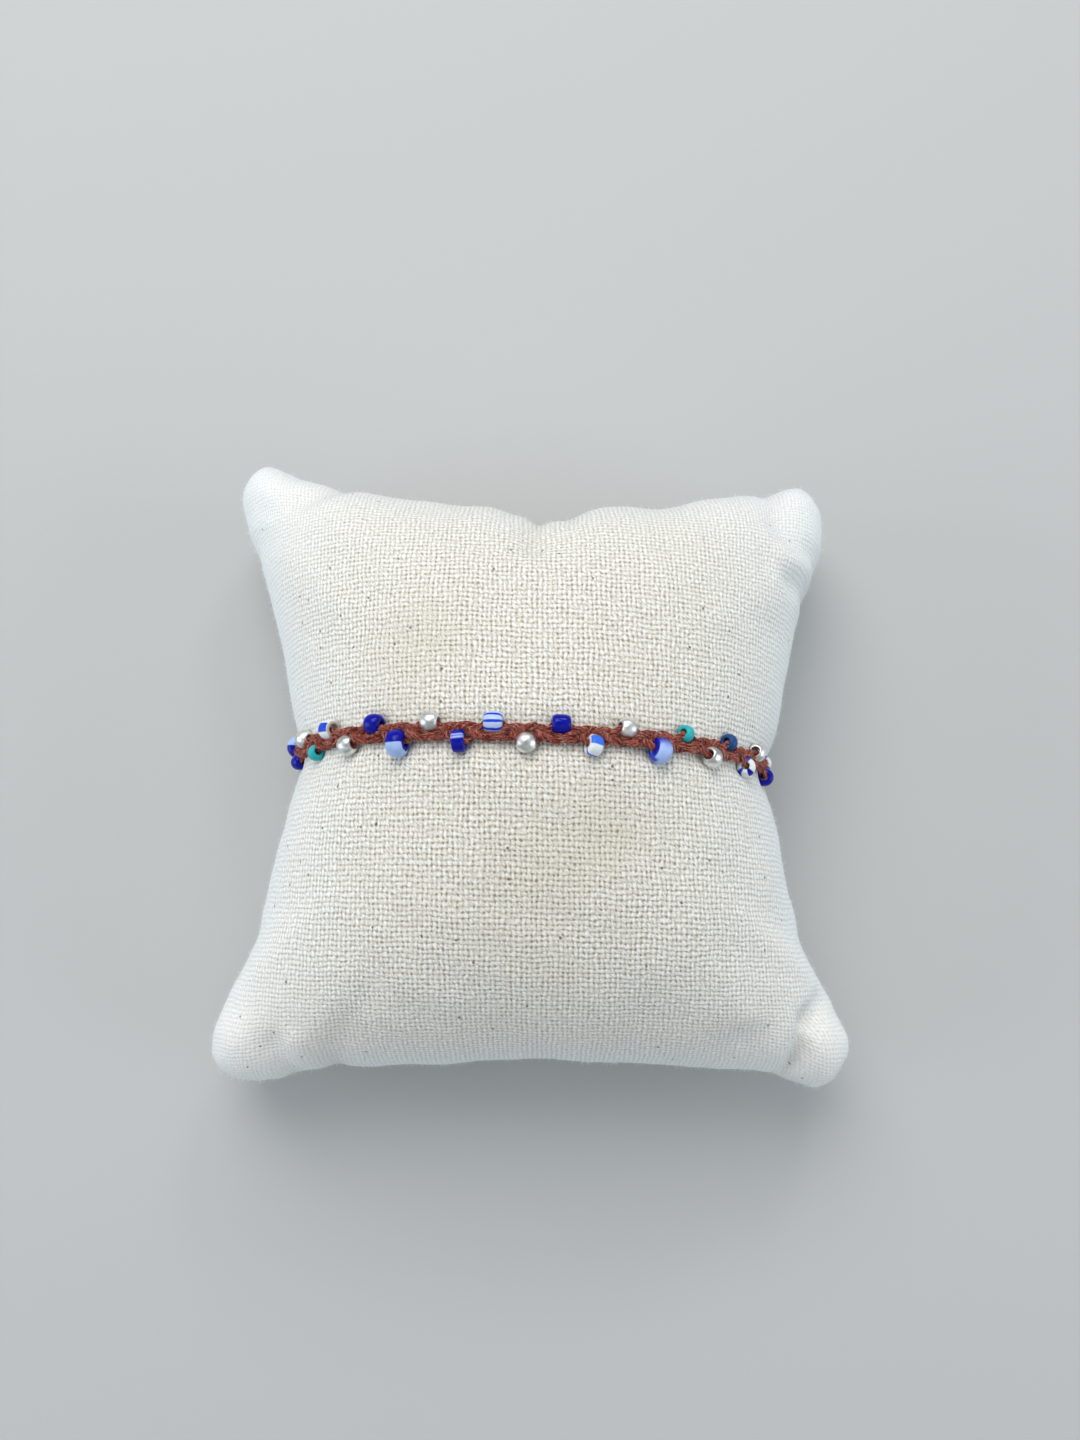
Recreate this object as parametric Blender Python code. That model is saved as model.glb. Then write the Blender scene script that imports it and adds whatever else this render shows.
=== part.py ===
"""A braided bracelet with glass and silver beads, stretched round a stuffed display pillow."""
import math

import bpy
import numpy as np

for leftover in list(bpy.data.objects):
    bpy.data.objects.remove(leftover, do_unlink=True)

# All sizes below are in millimetres and are turned into metres when a mesh is made
MM = 0.001

# Bracelet line across the pillow: seen from above it runs slightly down to the right
LINE_Y = 0.225
LINE_SLOPE = -0.033

# Pillow section under the bracelet
WAIST_HALF = 37.8
SEAM_Z = 14.0
LINE_TOP = 49.6
LINE_UNDER = 6.2
TOP_POWER = 2.36
UNDER_POWER = 3.0

# Pillow outline seen from above, read at these fractions from the bracelet line to a corner
STATIONS = np.array([-1.0, -0.9, -0.75, -0.5, -0.25, 0.0, 0.25, 0.5, 0.75, 0.9, 1.0])
RIGHT_HALF = [52.5, 52.0, 48.5, 44.0, 41.0, 39.0, 42.5, 46.0, 50.5, 52.5, 53.0]
LEFT_HALF = [54.0, 52.5, 49.0, 44.0, 41.0, 39.0, 41.5, 45.0, 50.0, 52.5, 52.5]
FAR_EDGE = [57.5, 55.5, 51.0, 47.0, 44.5, 42.0, 43.5, 45.5, 48.5, 51.5, 53.0]
NEAR_EDGE = [50.5, 50.0, 49.0, 47.5, 47.0, 46.5, 47.0, 47.5, 49.0, 51.0, 51.0]

# Pillow crown, ears and the soft dent that the bracelet makes
FAR_POWER = 2.9
NEAR_POWER = 2.6
EAR_DROP = 2.0
EAR_ROUND = 0.045
EAR_ROUND_POWER = 16
SIDE_PINCH = 1.2
TOP_PINCH = 0.6
PINCH_WIDTH = 4.0

# Pillow underside: two flat patches that rest at z = 0, with a groove for the bracelet
UNDER_CORNER_POWER = 3.5
UNDER_SINK = 1.07
GROOVE_SHARE = 0.13
GROOVE_POWER = 6
COLUMNS = 24
ROW_STEPS = [2.2, 4.2, 6.0, 8.5, 14.0]
ROWS_TO_EDGE = 7

# Braid: three strands, pitch of one full plait, and how the beads push it aside
LIFT = 2.2
LIFT_UNDER = 0.5
PITCH = 9.344
FIRST_BEAD = 4.39
STEPS = 12
STRAND_R = 0.33
STRAND_SIDES = 5
PLAIN_SIDE = 0.84
PLAIN_HEIGHT = 0.70
BEADED_SIDE = 1.836
BEADED_SIDE_3 = -0.286
BEADED_HEIGHT = 0.305
BEADED_HEIGHT_4 = -0.453
OTHER_SIDE = 0.766
OTHER_WAVE = 0.966
OTHER_HEIGHT = 0.688
OTHER_HEIGHT_2 = -0.088
OTHER_HEIGHT_4 = -0.44
BEADED_REACH = 67.0
BLEND_LENGTH = 6.0

# Clasp: a plain barrel hidden under the pillow, with a blind bore at each end
CLASP_HALF = 6.0
CLASP_R = 2.05
CLASP_BORE = 1.5
CLASP_WALL = 2.0
CLASP_CHAMFER = 0.25
CLASP_SIDES = 16
STRAND_IN_CLASP = 2.5

# Beads: bore, sides round, and how far the thick ones are moved out and up on their strand
BEAD_BORE = 0.9
THICK_SIDE = 0.5
THICK_HEIGHT = 0.6
THICK_BORE = 1.0
BEAD_SIDES = 10
BEAD_SIDE = 1.55
NORMAL_R = 1.5

# Each bead: place along its edge, outer diameter, length, shape and colour.
# Place 0 is the bead just right of the crown; shape 0 is round and 1 is a cut tube.
FAR_BEADS = [
    (-7, 2.9, 2.5, 0.3, "cobalt_glass"),
    (-6, 3.8, 2.5, 0.4, "ice_blue_glass"),
    (-5, 3.0, 2.4, 0.3, "silver"),
    (-4, 3.0, 2.3, 0.4, "white_glass"),
    (-3, 3.0, 2.5, 0.2, "cobalt_glass"),
    (-2, 3.0, 2.4, 0.3, "silver"),
    (-1, 3.0, 2.5, 0.4, "white_glass"),
    (0, 2.8, 2.5, 0.6, "cobalt_glass"),
    (1, 3.0, 2.4, 0.3, "silver"),
    (2, 2.6, 1.7, 0.3, "turquoise_glass"),
    (3, 2.7, 1.8, 0.4, "steel_blue_glass"),
    (4, 3.0, 2.4, 0.3, "silver"),
    (5, 2.9, 2.4, 0.4, "white_glass"),
    (6, 2.9, 2.5, 0.3, "cobalt_glass"),
]
NEAR_BEADS = [
    (-6, 3.0, 2.4, 0.3, "silver"),
    (-5, 3.0, 2.4, 0.3, "cobalt_glass"),
    (-4, 2.6, 2.1, 0.3, "turquoise_glass"),
    (-3, 3.0, 2.4, 0.3, "silver"),
    (-2, 3.8, 2.5, 0.4, "ice_blue_glass"),
    (-1, 3.1, 2.3, 1.0, "cobalt_glass"),
    (0, 3.0, 2.4, 0.3, "silver"),
    (1, 3.0, 2.0, 0.6, "white_glass"),
    (2, 3.6, 2.5, 0.3, "ice_blue_glass"),
    (3, 3.0, 2.4, 0.3, "silver"),
    (4, 2.9, 2.4, 0.4, "white_glass"),
    (5, 2.8, 2.4, 0.3, "cobalt_glass"),
    (6, 3.0, 2.4, 0.3, "silver"),
]

# Colours as (red, green, blue), roughness, metallic
LOOKS = {
    "canvas": ((0.72, 0.67, 0.57), 0.9, 0.0),
    "waxed_thread": ((0.26, 0.08, 0.045), 0.75, 0.0),
    "silver": ((0.75, 0.75, 0.74), 0.38, 1.0),
    "cobalt_glass": ((0.008, 0.012, 0.30), 0.12, 0.0),
    "ice_blue_glass": ((0.52, 0.62, 0.87), 0.15, 0.0),
    "white_glass": ((0.82, 0.82, 0.85), 0.15, 0.0),
    "turquoise_glass": ((0.045, 0.48, 0.55), 0.15, 0.0),
    "steel_blue_glass": ((0.03, 0.08, 0.26), 0.2, 0.0),
}


def look(name):
    """Return the material of that name, made on first use."""
    found = bpy.data.materials.get(name)
    if found:
        return found
    colour, roughness, metallic = LOOKS[name]
    made = bpy.data.materials.new(name)
    made.use_nodes = True
    shader = made.node_tree.nodes["Principled BSDF"]
    shader.inputs["Base Color"].default_value = (*colour, 1.0)
    shader.inputs["Roughness"].default_value = roughness
    shader.inputs["Metallic"].default_value = metallic
    made.diffuse_color = (*colour, 1.0)
    return made


def solid(name, points, faces, material, smooth=True):
    """Make one closed body from points in millimetres and faces that wind outwards."""
    mesh = bpy.data.meshes.new(name)
    mesh.from_pydata((np.asarray(points) * MM).tolist(), [], faces)
    mesh.update()
    body = bpy.data.objects.new(name, mesh)
    bpy.context.scene.collection.objects.link(body)
    mesh.materials.append(look(material))
    mesh.polygons.foreach_set("use_smooth", [smooth] * len(mesh.polygons))
    return body


def through(values, at):
    """A smooth curve through one value per station, read at the given fractions."""
    values = np.asarray(values, float)
    slopes = np.gradient(values, STATIONS)
    k = np.clip(np.searchsorted(STATIONS, at, side="right") - 1, 0, len(STATIONS) - 2)
    span = STATIONS[k + 1] - STATIONS[k]
    u = (at - STATIONS[k]) / span
    start = values[k] * (1 + 2 * u) * (1 - u) ** 2 + span * slopes[k] * u * (1 - u) ** 2
    finish = values[k + 1] * u * u * (3 - 2 * u) - span * slopes[k + 1] * u * u * (1 - u)
    return start + finish


def dome(fraction, power):
    """Height of a rounded profile: 1 in the middle and 0 at the edge."""
    return (1 - np.minimum(np.abs(fraction), 1.0) ** power) ** (1 / power)


def even(power, ratio, count):
    """Fractions from 0 to 1 that lie evenly along a rounded profile."""
    t = np.linspace(0, math.pi / 2, 2001)
    across = np.sin(t) ** (2 / power)
    up = np.cos(t) ** (2 / power)
    along = np.concatenate([[0.0], np.cumsum(np.hypot(np.diff(across), ratio * np.diff(up)))])
    return np.interp(np.linspace(0, 1, count + 1), along / along[-1], across)


def line_y(x):
    """Where the bracelet crosses the pillow at a given x."""
    return LINE_Y + LINE_SLOPE * x


def pillow_plan(f, g):
    """Plan position of pillow fractions f across and g away from the bracelet line."""
    cut = 1 - EAR_ROUND * (np.abs(f) * np.abs(g)) ** EAR_ROUND_POWER
    f = f * cut
    g = g * cut
    half = np.where(f >= 0, through(RIGHT_HALF, g), through(LEFT_HALF, g))
    x = f * half
    edge = np.where(g >= 0, through(FAR_EDGE, f), -through(NEAR_EDGE, f))
    y = line_y(x) + np.abs(g) * (edge - line_y(x))
    return x, y


def pillow_surface(f, g, upper):
    """Points of the upper or the under face at those fractions."""
    x, y = pillow_plan(f, g)
    away = y - line_y(x)
    pinch = np.exp(-(away / PINCH_WIDTH) ** 2)
    seam = SEAM_Z - EAR_DROP * np.abs(f * g) ** 3
    x = x * (1 - SIDE_PINCH / (WAIST_HALF + SIDE_PINCH) * pinch)
    power = np.where(g >= 0, FAR_POWER, NEAR_POWER)
    if upper:
        crown = LINE_TOP + TOP_PINCH
        rise = (crown - seam) * dome(f, TOP_POWER) * dome(g, power)
        z = seam + rise * (1 - TOP_PINCH / (crown - SEAM_Z) * pinch)
        return np.stack([x, y, z], -1)
    sag = UNDER_SINK * dome(f, UNDER_CORNER_POWER) * dome(g, UNDER_CORNER_POWER)
    resting = np.maximum(seam * (1 - sag), 0.0)
    grooved = SEAM_Z - (SEAM_Z - LINE_UNDER) * dome(f, UNDER_POWER)
    share = np.exp(-(np.abs(g) / GROOVE_SHARE) ** GROOVE_POWER)
    z = resting + (grooved - resting) * share
    return np.stack([x, y, z], -1)


def build_pillow():
    """Upper and under faces on one grid, joined at the seam round the edge."""
    half_columns = even(TOP_POWER, 0.95, COLUMNS // 2)
    f_line = np.concatenate([-half_columns[:0:-1], half_columns])
    far_steps = [step / FAR_EDGE[5] for step in ROW_STEPS]
    near_steps = [step / NEAR_EDGE[5] for step in ROW_STEPS]
    far_rest = even(FAR_POWER, 0.8, ROWS_TO_EDGE + 3)[4:]
    near_rest = even(NEAR_POWER, 0.75, ROWS_TO_EDGE + 3)[4:]
    far = np.concatenate([far_steps, far_rest])
    near = np.concatenate([near_steps, near_rest])
    g_line = np.concatenate([-near[::-1], [0.0], far])
    f, g = np.meshgrid(f_line, g_line, indexing="ij")
    top = pillow_surface(f, g, True)
    under = pillow_surface(f, g, False)
    wide, deep = f.shape
    top_index = np.arange(wide * deep).reshape(wide, deep)
    under_index = top_index.copy()
    inner = (wide - 2) * (deep - 2)
    under_index[1:-1, 1:-1] = wide * deep + np.arange(inner).reshape(wide - 2, deep - 2)
    points = np.concatenate([top.reshape(-1, 3), under[1:-1, 1:-1].reshape(-1, 3)])
    faces = []
    for i in range(wide - 1):
        for j in range(deep - 1):
            a, b, c, d = (top_index[i, j], top_index[i + 1, j],
                          top_index[i + 1, j + 1], top_index[i, j + 1])
            faces.append([int(a), int(b), int(c), int(d)])
            a, b, c, d = (under_index[i, j], under_index[i, j + 1],
                          under_index[i + 1, j + 1], under_index[i + 1, j])
            faces.append([int(a), int(b), int(c), int(d)])
    solid("pillow", points, faces, "canvas")


def loop_path():
    """Centre line of the bracelet: the pillow section moved outwards, with its length."""
    t = np.linspace(0, 2 * math.pi, 4001)
    across = np.sign(np.sin(t)) * np.abs(np.sin(t))
    top = np.cos(t) >= 0
    power = np.where(top, TOP_POWER, UNDER_POWER)
    x = WAIST_HALF * np.sign(across) * np.abs(across) ** (2 / power)
    up = np.abs(np.cos(t)) ** (2 / power)
    z = SEAM_Z + np.where(top, (LINE_TOP - SEAM_Z) * up, -(SEAM_Z - LINE_UNDER) * up)
    along = np.concatenate([[0.0], np.cumsum(np.hypot(np.diff(x), np.diff(z)))])
    even_along = np.linspace(0, along[-1], 1201)
    x = np.interp(even_along, along, x)
    z = np.interp(even_along, along, z)
    normal = outward(x, z)
    lift = LIFT + LIFT_UNDER * np.clip(-normal[:, 1], 0, 1) ** 2
    x = x + lift * normal[:, 0]
    z = z + lift * normal[:, 1]
    along = np.concatenate([[0.0], np.cumsum(np.hypot(np.diff(x), np.diff(z)))])
    return x, z, outward(x, z), along * math.hypot(1.0, LINE_SLOPE * 0.7)


def outward(x, z):
    """Unit normals of a closed path that runs clockwise, its last point on its first."""
    dx = np.roll(x[:-1], -1) - np.roll(x[:-1], 1)
    dz = np.roll(z[:-1], -1) - np.roll(z[:-1], 1)
    size = np.hypot(dx, dz)
    normal = np.stack([-dz / size, dx / size], -1)
    return np.concatenate([normal, normal[:1]])


PATH_X, PATH_Z, PATH_N, PATH_S = loop_path()
LOOP = PATH_S[-1]


def place(s, side, height):
    """Points beside the bracelet's centre line: s along it, side to the far edge, height out."""
    s = np.mod(s, LOOP)
    x = np.interp(s, PATH_S, PATH_X)
    z = np.interp(s, PATH_S, PATH_Z)
    nx = np.interp(s, PATH_S, PATH_N[:, 0])
    nz = np.interp(s, PATH_S, PATH_N[:, 1])
    centre = np.stack([x, line_y(x), z], -1)
    normal = np.stack([nx, np.zeros_like(nx), nz], -1)
    normal /= np.linalg.norm(normal, axis=-1, keepdims=True)
    tangent = np.stack([normal[..., 2], LINE_SLOPE * normal[..., 2], -normal[..., 0]], -1)
    tangent /= np.linalg.norm(tangent, axis=-1, keepdims=True)
    beside = np.cross(normal, tangent)
    point = centre + side[..., None] * beside + height[..., None] * normal
    return point, tangent, beside, normal


def tube(name, path, radius, sides, material):
    """A round tube along an open path, with flat ends."""
    step = np.gradient(path, axis=0)
    step /= np.linalg.norm(step, axis=1, keepdims=True)
    up = np.cross(step, np.array([0.0, 1.0, 0.0]))
    up /= np.linalg.norm(up, axis=1, keepdims=True)
    right = np.cross(step, up)
    angle = np.arange(sides) * 2 * math.pi / sides
    ring = (np.cos(angle)[None, :, None] * up[:, None] + np.sin(angle)[None, :, None] * right[:, None])
    points = (path[:, None] + radius * ring).reshape(-1, 3)
    faces = []
    for i in range(len(path) - 1):
        for j in range(sides):
            k = (j + 1) % sides
            faces.append([i * sides + j, (i + 1) * sides + j, (i + 1) * sides + k, i * sides + k])
    last = (len(path) - 1) * sides
    faces.append([j for j in range(sides)])
    faces.append([last + j for j in reversed(range(sides))])
    solid(name, points, [face[::-1] for face in faces], material)


def strand_offsets(s, turn):
    """Side and height of one strand, turn 0 for the one that carries the beads."""
    theta = 2 * math.pi * (s - FIRST_BEAD) / PITCH
    beaded = np.clip((BEADED_REACH - np.abs(s)) / BLEND_LENGTH + 0.5, 0, 1)
    beaded = beaded * beaded * (3 - 2 * beaded)
    phase = theta + math.pi / 2 + turn * 2 * math.pi / 3
    plain_side = PLAIN_SIDE * np.sin(phase)
    plain_height = PLAIN_HEIGHT * np.sin(2 * phase)
    if turn == 0:
        side = BEADED_SIDE * np.cos(theta) + BEADED_SIDE_3 * np.cos(3 * theta)
        height = -BEADED_HEIGHT * np.sin(2 * theta) - BEADED_HEIGHT_4 * np.sin(4 * theta)
    else:
        mirror = theta if turn == 1 else -theta
        sign = 1 if turn == 1 else -1
        side = OTHER_SIDE * np.sin(mirror + math.radians(210)) - OTHER_WAVE * np.cos(mirror)
        height = sign * (OTHER_HEIGHT * np.sin(2 * mirror + math.radians(60))
                         + OTHER_HEIGHT_2 * np.sin(2 * mirror)
                         + OTHER_HEIGHT_4 * np.sin(4 * mirror))
    return (plain_side + beaded * (side - plain_side),
            plain_height + beaded * (height - plain_height))


def build_strand(name, turn):
    """One strand from its socket in the clasp, round the pillow, to the other socket."""
    step = PITCH / STEPS
    reach = LOOP / 2 - CLASP_HALF - 1.0
    first = math.ceil((-reach - FIRST_BEAD) / (PITCH / 6))
    last = math.floor((reach - FIRST_BEAD) / (PITCH / 6))
    stations = FIRST_BEAD + step * np.arange(first * STEPS // 6, last * STEPS // 6 + 1)
    side, height = strand_offsets(stations, turn)
    into = LOOP / 2 - CLASP_HALF + STRAND_IN_CLASP
    stations = np.concatenate([[-into], stations, [into]])
    side = np.concatenate([side[:1], side, side[-1:]])
    height = np.concatenate([height[:1], height, height[-1:]])
    path = place(stations, side, height)[0]
    tube(name, path, STRAND_R, STRAND_SIDES, "waxed_thread")


def lathe(name, profile, sides, centre, axis, up, material, closed):
    """Turn a profile of (along, radius) about an axis: a ring, or a rod with flat ends."""
    axis = axis / np.linalg.norm(axis)
    up = up - axis * np.dot(up, axis)
    up = up / np.linalg.norm(up)
    third = np.cross(axis, up)
    angle = np.arange(sides) * 2 * math.pi / sides
    ring = np.cos(angle)[:, None] * up + np.sin(angle)[:, None] * third
    points = np.concatenate([centre + along * axis + radius * ring for along, radius in profile])
    count = len(profile)
    faces = []
    for i in range(count if closed else count - 1):
        n = (i + 1) % count
        for j in range(sides):
            k = (j + 1) % sides
            faces.append([i * sides + j, i * sides + k, n * sides + k, n * sides + j])
    if not closed:
        faces.append([j for j in reversed(range(sides))])
        faces.append([(count - 1) * sides + j for j in range(sides)])
    solid(name, points, faces, material)


def bead_profile(diameter, length, shape):
    """Ring profile of a drilled bead, from round to a cut tube."""
    half = length / 2
    outer = diameter / 2
    bore = BEAD_BORE + THICK_BORE * max(outer - NORMAL_R, 0.0)
    shoulder = 0.62 + 0.32 * shape
    shoulder_r = outer * (0.88 + 0.11 * shape)
    face_r = bore + (outer - bore) * (0.42 + 0.35 * shape)
    return [(0.0, outer), (half * shoulder, shoulder_r), (half, face_r), (half * 0.9, bore),
            (-half * 0.9, bore), (-half, face_r), (-half * shoulder, shoulder_r)]


def build_beads(edge, beads, sign, start):
    """The beads along one edge of the braid."""
    for number, (at, diameter, length, shape, material) in enumerate(beads, 1):
        s = np.array(start + at * PITCH)
        extra = max(diameter / 2 - NORMAL_R, 0.0)
        side = np.array(sign * (BEAD_SIDE + THICK_SIDE * extra))
        height = np.array(THICK_HEIGHT * extra)
        centre, tangent, _, normal = place(s, side, height)
        profile = bead_profile(diameter, length, shape)
        lathe(f"bead_{edge}_{number:02d}", profile, BEAD_SIDES, centre, tangent, normal, material, True)


def build_clasp():
    """The plain barrel that joins the ends."""
    centre, tangent, _, normal = place(np.array(LOOP / 2), np.array(0.0), np.array(0.0))
    end = CLASP_HALF
    profile = [(-CLASP_WALL, CLASP_BORE), (-end, CLASP_BORE), (-end, CLASP_R - CLASP_CHAMFER),
               (-end + CLASP_CHAMFER, CLASP_R), (end - CLASP_CHAMFER, CLASP_R),
               (end, CLASP_R - CLASP_CHAMFER), (end, CLASP_BORE), (CLASP_WALL, CLASP_BORE)]
    lathe("clasp", profile, CLASP_SIDES, centre, tangent, normal, "silver", False)


def centre_bodies():
    """Move every body so that the middle of the whole, seen from above, is at the origin."""
    bodies = [body for body in bpy.data.objects if body.type == "MESH"]
    clouds = []
    for body in bodies:
        cloud = np.empty(len(body.data.vertices) * 3)
        body.data.vertices.foreach_get("co", cloud)
        clouds.append(cloud.reshape(-1, 3))
    everything = np.concatenate(clouds)
    middle = (everything.min(axis=0) + everything.max(axis=0)) / 2
    for body, cloud in zip(bodies, clouds):
        body.data.vertices.foreach_set("co", (cloud - [middle[0], middle[1], 0.0]).ravel())
        body.data.update()


build_pillow()
build_strand("strand_beaded", 0)
build_strand("strand_second", 1)
build_strand("strand_third", 2)
build_beads("far", FAR_BEADS, 1, FIRST_BEAD)
build_beads("near", NEAR_BEADS, -1, FIRST_BEAD - PITCH / 2)
build_clasp()
centre_bodies()
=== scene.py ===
"""A braided bracelet with glass and silver beads, stretched round a stuffed canvas pillow."""
import math

import bpy
import numpy as np
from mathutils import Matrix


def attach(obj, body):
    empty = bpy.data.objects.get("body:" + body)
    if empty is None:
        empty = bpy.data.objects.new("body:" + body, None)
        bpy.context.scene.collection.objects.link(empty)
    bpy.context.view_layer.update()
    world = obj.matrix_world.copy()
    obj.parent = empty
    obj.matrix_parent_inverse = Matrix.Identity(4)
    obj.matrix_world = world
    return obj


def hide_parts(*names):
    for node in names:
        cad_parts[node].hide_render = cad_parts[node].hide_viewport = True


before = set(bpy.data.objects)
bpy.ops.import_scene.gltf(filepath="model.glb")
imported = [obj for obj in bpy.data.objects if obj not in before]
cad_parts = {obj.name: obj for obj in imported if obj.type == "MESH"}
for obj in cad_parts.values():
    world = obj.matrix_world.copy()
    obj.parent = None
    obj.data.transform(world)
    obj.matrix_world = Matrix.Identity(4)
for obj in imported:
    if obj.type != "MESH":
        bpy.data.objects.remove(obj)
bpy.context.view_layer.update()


# The room: a pale matt table top under an overcast sky, seen from almost straight above. Broad
# soft panels hang behind and at both sides, with a small bright window behind on the right, so
# the near edge of the pillow falls off gently.
TABLE_HALF = 3.0


def plug(node, values):
    """Gives each named socket of a node a number, a colour or another node's output."""
    for key, value in dict(values).items():
        if isinstance(value, bpy.types.NodeSocket):
            node.id_data.links.new(value, node.inputs[key])
        else:
            node.inputs[key].default_value = value
    return node


def make(tree, kind, values=(), **settings):
    """Adds one shader node of a kind, with its settings and the values of its sockets."""
    added = tree.nodes.new("ShaderNode" + kind)
    for key, value in settings.items():
        setattr(added, key, value)
    return plug(added, values)


def finish_named(name, roughness, **sockets):
    """A material with its constant sockets set, a space in a socket's name written as _; returns
    it, its tree and its shader."""
    made = bpy.data.materials.new(name)
    made.use_nodes = True
    constants = {key.replace("_", " "): value for key, value in sockets.items()}
    shader = plug(made.node_tree.nodes["Principled BSDF"], {"Roughness": roughness, **constants})
    return made, made.node_tree, shader


def stand(name, data):
    """A new object in the scene that shows the data."""
    made = bpy.data.objects.new(name, data)
    bpy.context.scene.collection.objects.link(made)
    return made


camera_lens = bpy.data.cameras.new("camera")
camera_lens.lens = 27.075
camera_lens.clip_start = 0.01
camera = stand("camera", camera_lens)
camera.location = (0.001457, -0.03107, 0.19914)
camera.rotation_euler = (math.radians(11.8), 0.0, 0.0)
bpy.context.scene.camera = camera

for panel, hung_at, size, watts, colour in (
        ("sky_panel", (-0.15, 0.40, 0.62), 0.50, 3.25, (1.0, 0.985, 0.96)),
        ("left_panel", (-0.61, -0.08, 0.22), 0.40, 1.35, (0.80, 0.91, 1.0)),
        ("right_panel", (0.59, -0.12, 0.24), 0.40, 1.20, (0.81, 0.92, 1.0)),
        ("window_gap", (0.16, 0.46, 0.42), 0.12, 0.45, (1.0, 1.0, 1.0))):
    lamp = bpy.data.lights.new(panel, "AREA")
    lamp.shape = "SQUARE"
    lamp.size = size
    lamp.energy = watts
    lamp.color = colour
    hung = stand(panel, lamp)
    hung.location = hung_at
    hung.rotation_euler = (-hung.location.normalized()).to_track_quat("-Z", "Y").to_euler()

sky = bpy.data.worlds.new("overcast")
sky.use_nodes = True
around = make(sky.node_tree, "TexCoord").outputs["Generated"]
way_up = make(sky.node_tree, "SeparateXYZ", {0: around}).outputs[2]
glow = make(sky.node_tree, "ValToRGB", {0: way_up})
level, high = glow.color_ramp.elements
level.position, level.color = 0.0, (0.42, 0.48, 0.54, 1.0)
high.position, high.color = 0.80, (0.95, 1.01, 1.08, 1.0)
glow.color_ramp.elements.new(0.97).color = (0.30, 0.32, 0.35, 1.0)
plug(sky.node_tree.nodes["Background"], {"Color": glow.outputs[0], "Strength": 0.62})
bpy.context.scene.world = sky
bpy.context.scene.view_settings.view_transform = "Standard"

table_mesh = bpy.data.meshes.new("table_top")
table_corners = [(x * TABLE_HALF, y * TABLE_HALF, 0) for x, y in ((-1, -1), (1, -1), (1, 1), (-1, 1))]
table_mesh.from_pydata(table_corners, [], [(0, 1, 2, 3)])
table_mesh.materials.append(finish_named("table_paint", 0.85, Base_Color=(0.50, 0.50, 0.49, 1.0))[0])
table_top = stand("table_top", table_mesh)


# The pillow: two squares of unbleached cotton canvas, sewn face to face, turned and stuffed
# hard. Its sides pull in between the ears, the seam runs round the edge with small puckers,
# and the bracelet and each bead press a dent into the cloth. Sizes are in millimetres.
MM = 0.001
# The bracelet crosses on a straight line; MIDDLE is the place here of the frame's own origin
LINE_Y, LINE_SLOPE = 0.225, -0.033
MIDDLE = np.array([-0.0663, 2.2899, 0.0])
# The section under the bracelet, and the powers of the rounded profiles
WAIST_HALF, SEAM_Z, LINE_TOP, LINE_UNDER = 37.8, 14.0, 49.6, 6.2
TOP_POWER, UNDER_POWER, FAR_POWER, NEAR_POWER = 2.36, 3.0, 2.9, 2.6
# Half-widths at each station: of the two sides from near to far, of the two ends from left to right
STATIONS = np.array([-1.0, -0.9, -0.75, -0.5, -0.25, 0.0, 0.25, 0.5, 0.75, 0.9, 1.0])
RIGHT_HALF = [52.5, 52.0, 48.5, 44.0, 41.0, 39.0, 42.5, 46.0, 50.5, 52.5, 53.0]
LEFT_HALF = [54.0, 52.5, 49.0, 44.0, 41.0, 39.0, 41.5, 45.0, 50.0, 52.5, 52.5]
FAR_EDGE = [57.5, 55.5, 51.0, 47.0, 44.5, 42.0, 43.5, 45.5, 48.5, 51.5, 53.0]
NEAR_EDGE = [50.5, 50.0, 49.0, 47.5, 47.0, 46.5, 47.0, 47.5, 49.0, 51.0, 51.0]
EAR_ROUND, EAR_DROP = 0.11, 2.0
# The bracelet's centre line over the cloth, how far it pulls the sides in, and the cloth under it
LOOP_LIFT, LOOP_LIFT_UNDER, LOOP_PULL = 2.2, 0.5, 1.05
CLOTH_UNDER_LOOP = 0.92
# How far the cloth gives under the bracelet at the sides and on top, and that dip's half-width
SIDE_GIVE, SIDE_GIVE_HALF = 1.2, 5.5
TOP_GIVE, TOP_GIVE_HALF = 0.6, 4.0
# The underside: its sag on to the table as a share of the seam's height, the power of that
# form, and the half-width of the groove for the bracelet as a share of the length
SAG, SAG_POWER, GROOVE_HALF = 1.07, 3.5, 0.13
# Half-width of the ridge that carries the bracelet, at the sides, and what the crown adds
RIDGE_HALF, RIDGE_HALF_MORE = 3.2, 5.8
# Where the hand-sewn edge stands out or is drawn in: degrees round from the left side by way of
# the near edge, millimetres outwards, half-width in degrees
EDGE_MIDDLE_Y = -3.0
EDGE_TUCKS = np.array([
    # left side, then the near left ear with its blunt tip between two shoulders
    (345, 0.6, 20), (19, 0.6, 7), (29, -0.8, 3), (35.5, 1.2, 2.5), (42, -1.1, 5), (49.5, 0.9, 3),
    (54, -1.0, 2.5),
    # near edge and near right ear
    (60, 0.4, 5), (120, 0.4, 5), (132, 0.8, 2.2), (138, -1.6, 5), (144.5, 1.4, 2.2), (149, -1.7, 4),
    (157, -0.4, 6),
    # right side and far right ear
    (175, 0.7, 8), (191, 1.1, 7), (212, -0.7, 5), (218, 1.1, 3.5), (225, -2.0, 3.2), (234, 1.0, 5),
    # far edge, drawn in at its middle tuck, and far left ear
    (245, -0.9, 6), (255.5, 0.5, 3), (262.5, -1.2, 3), (270, 0.5, 3), (306.5, 1.0, 3.5),
    (313, -2.4, 3.2), (322, 0.9, 6),
])
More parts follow.
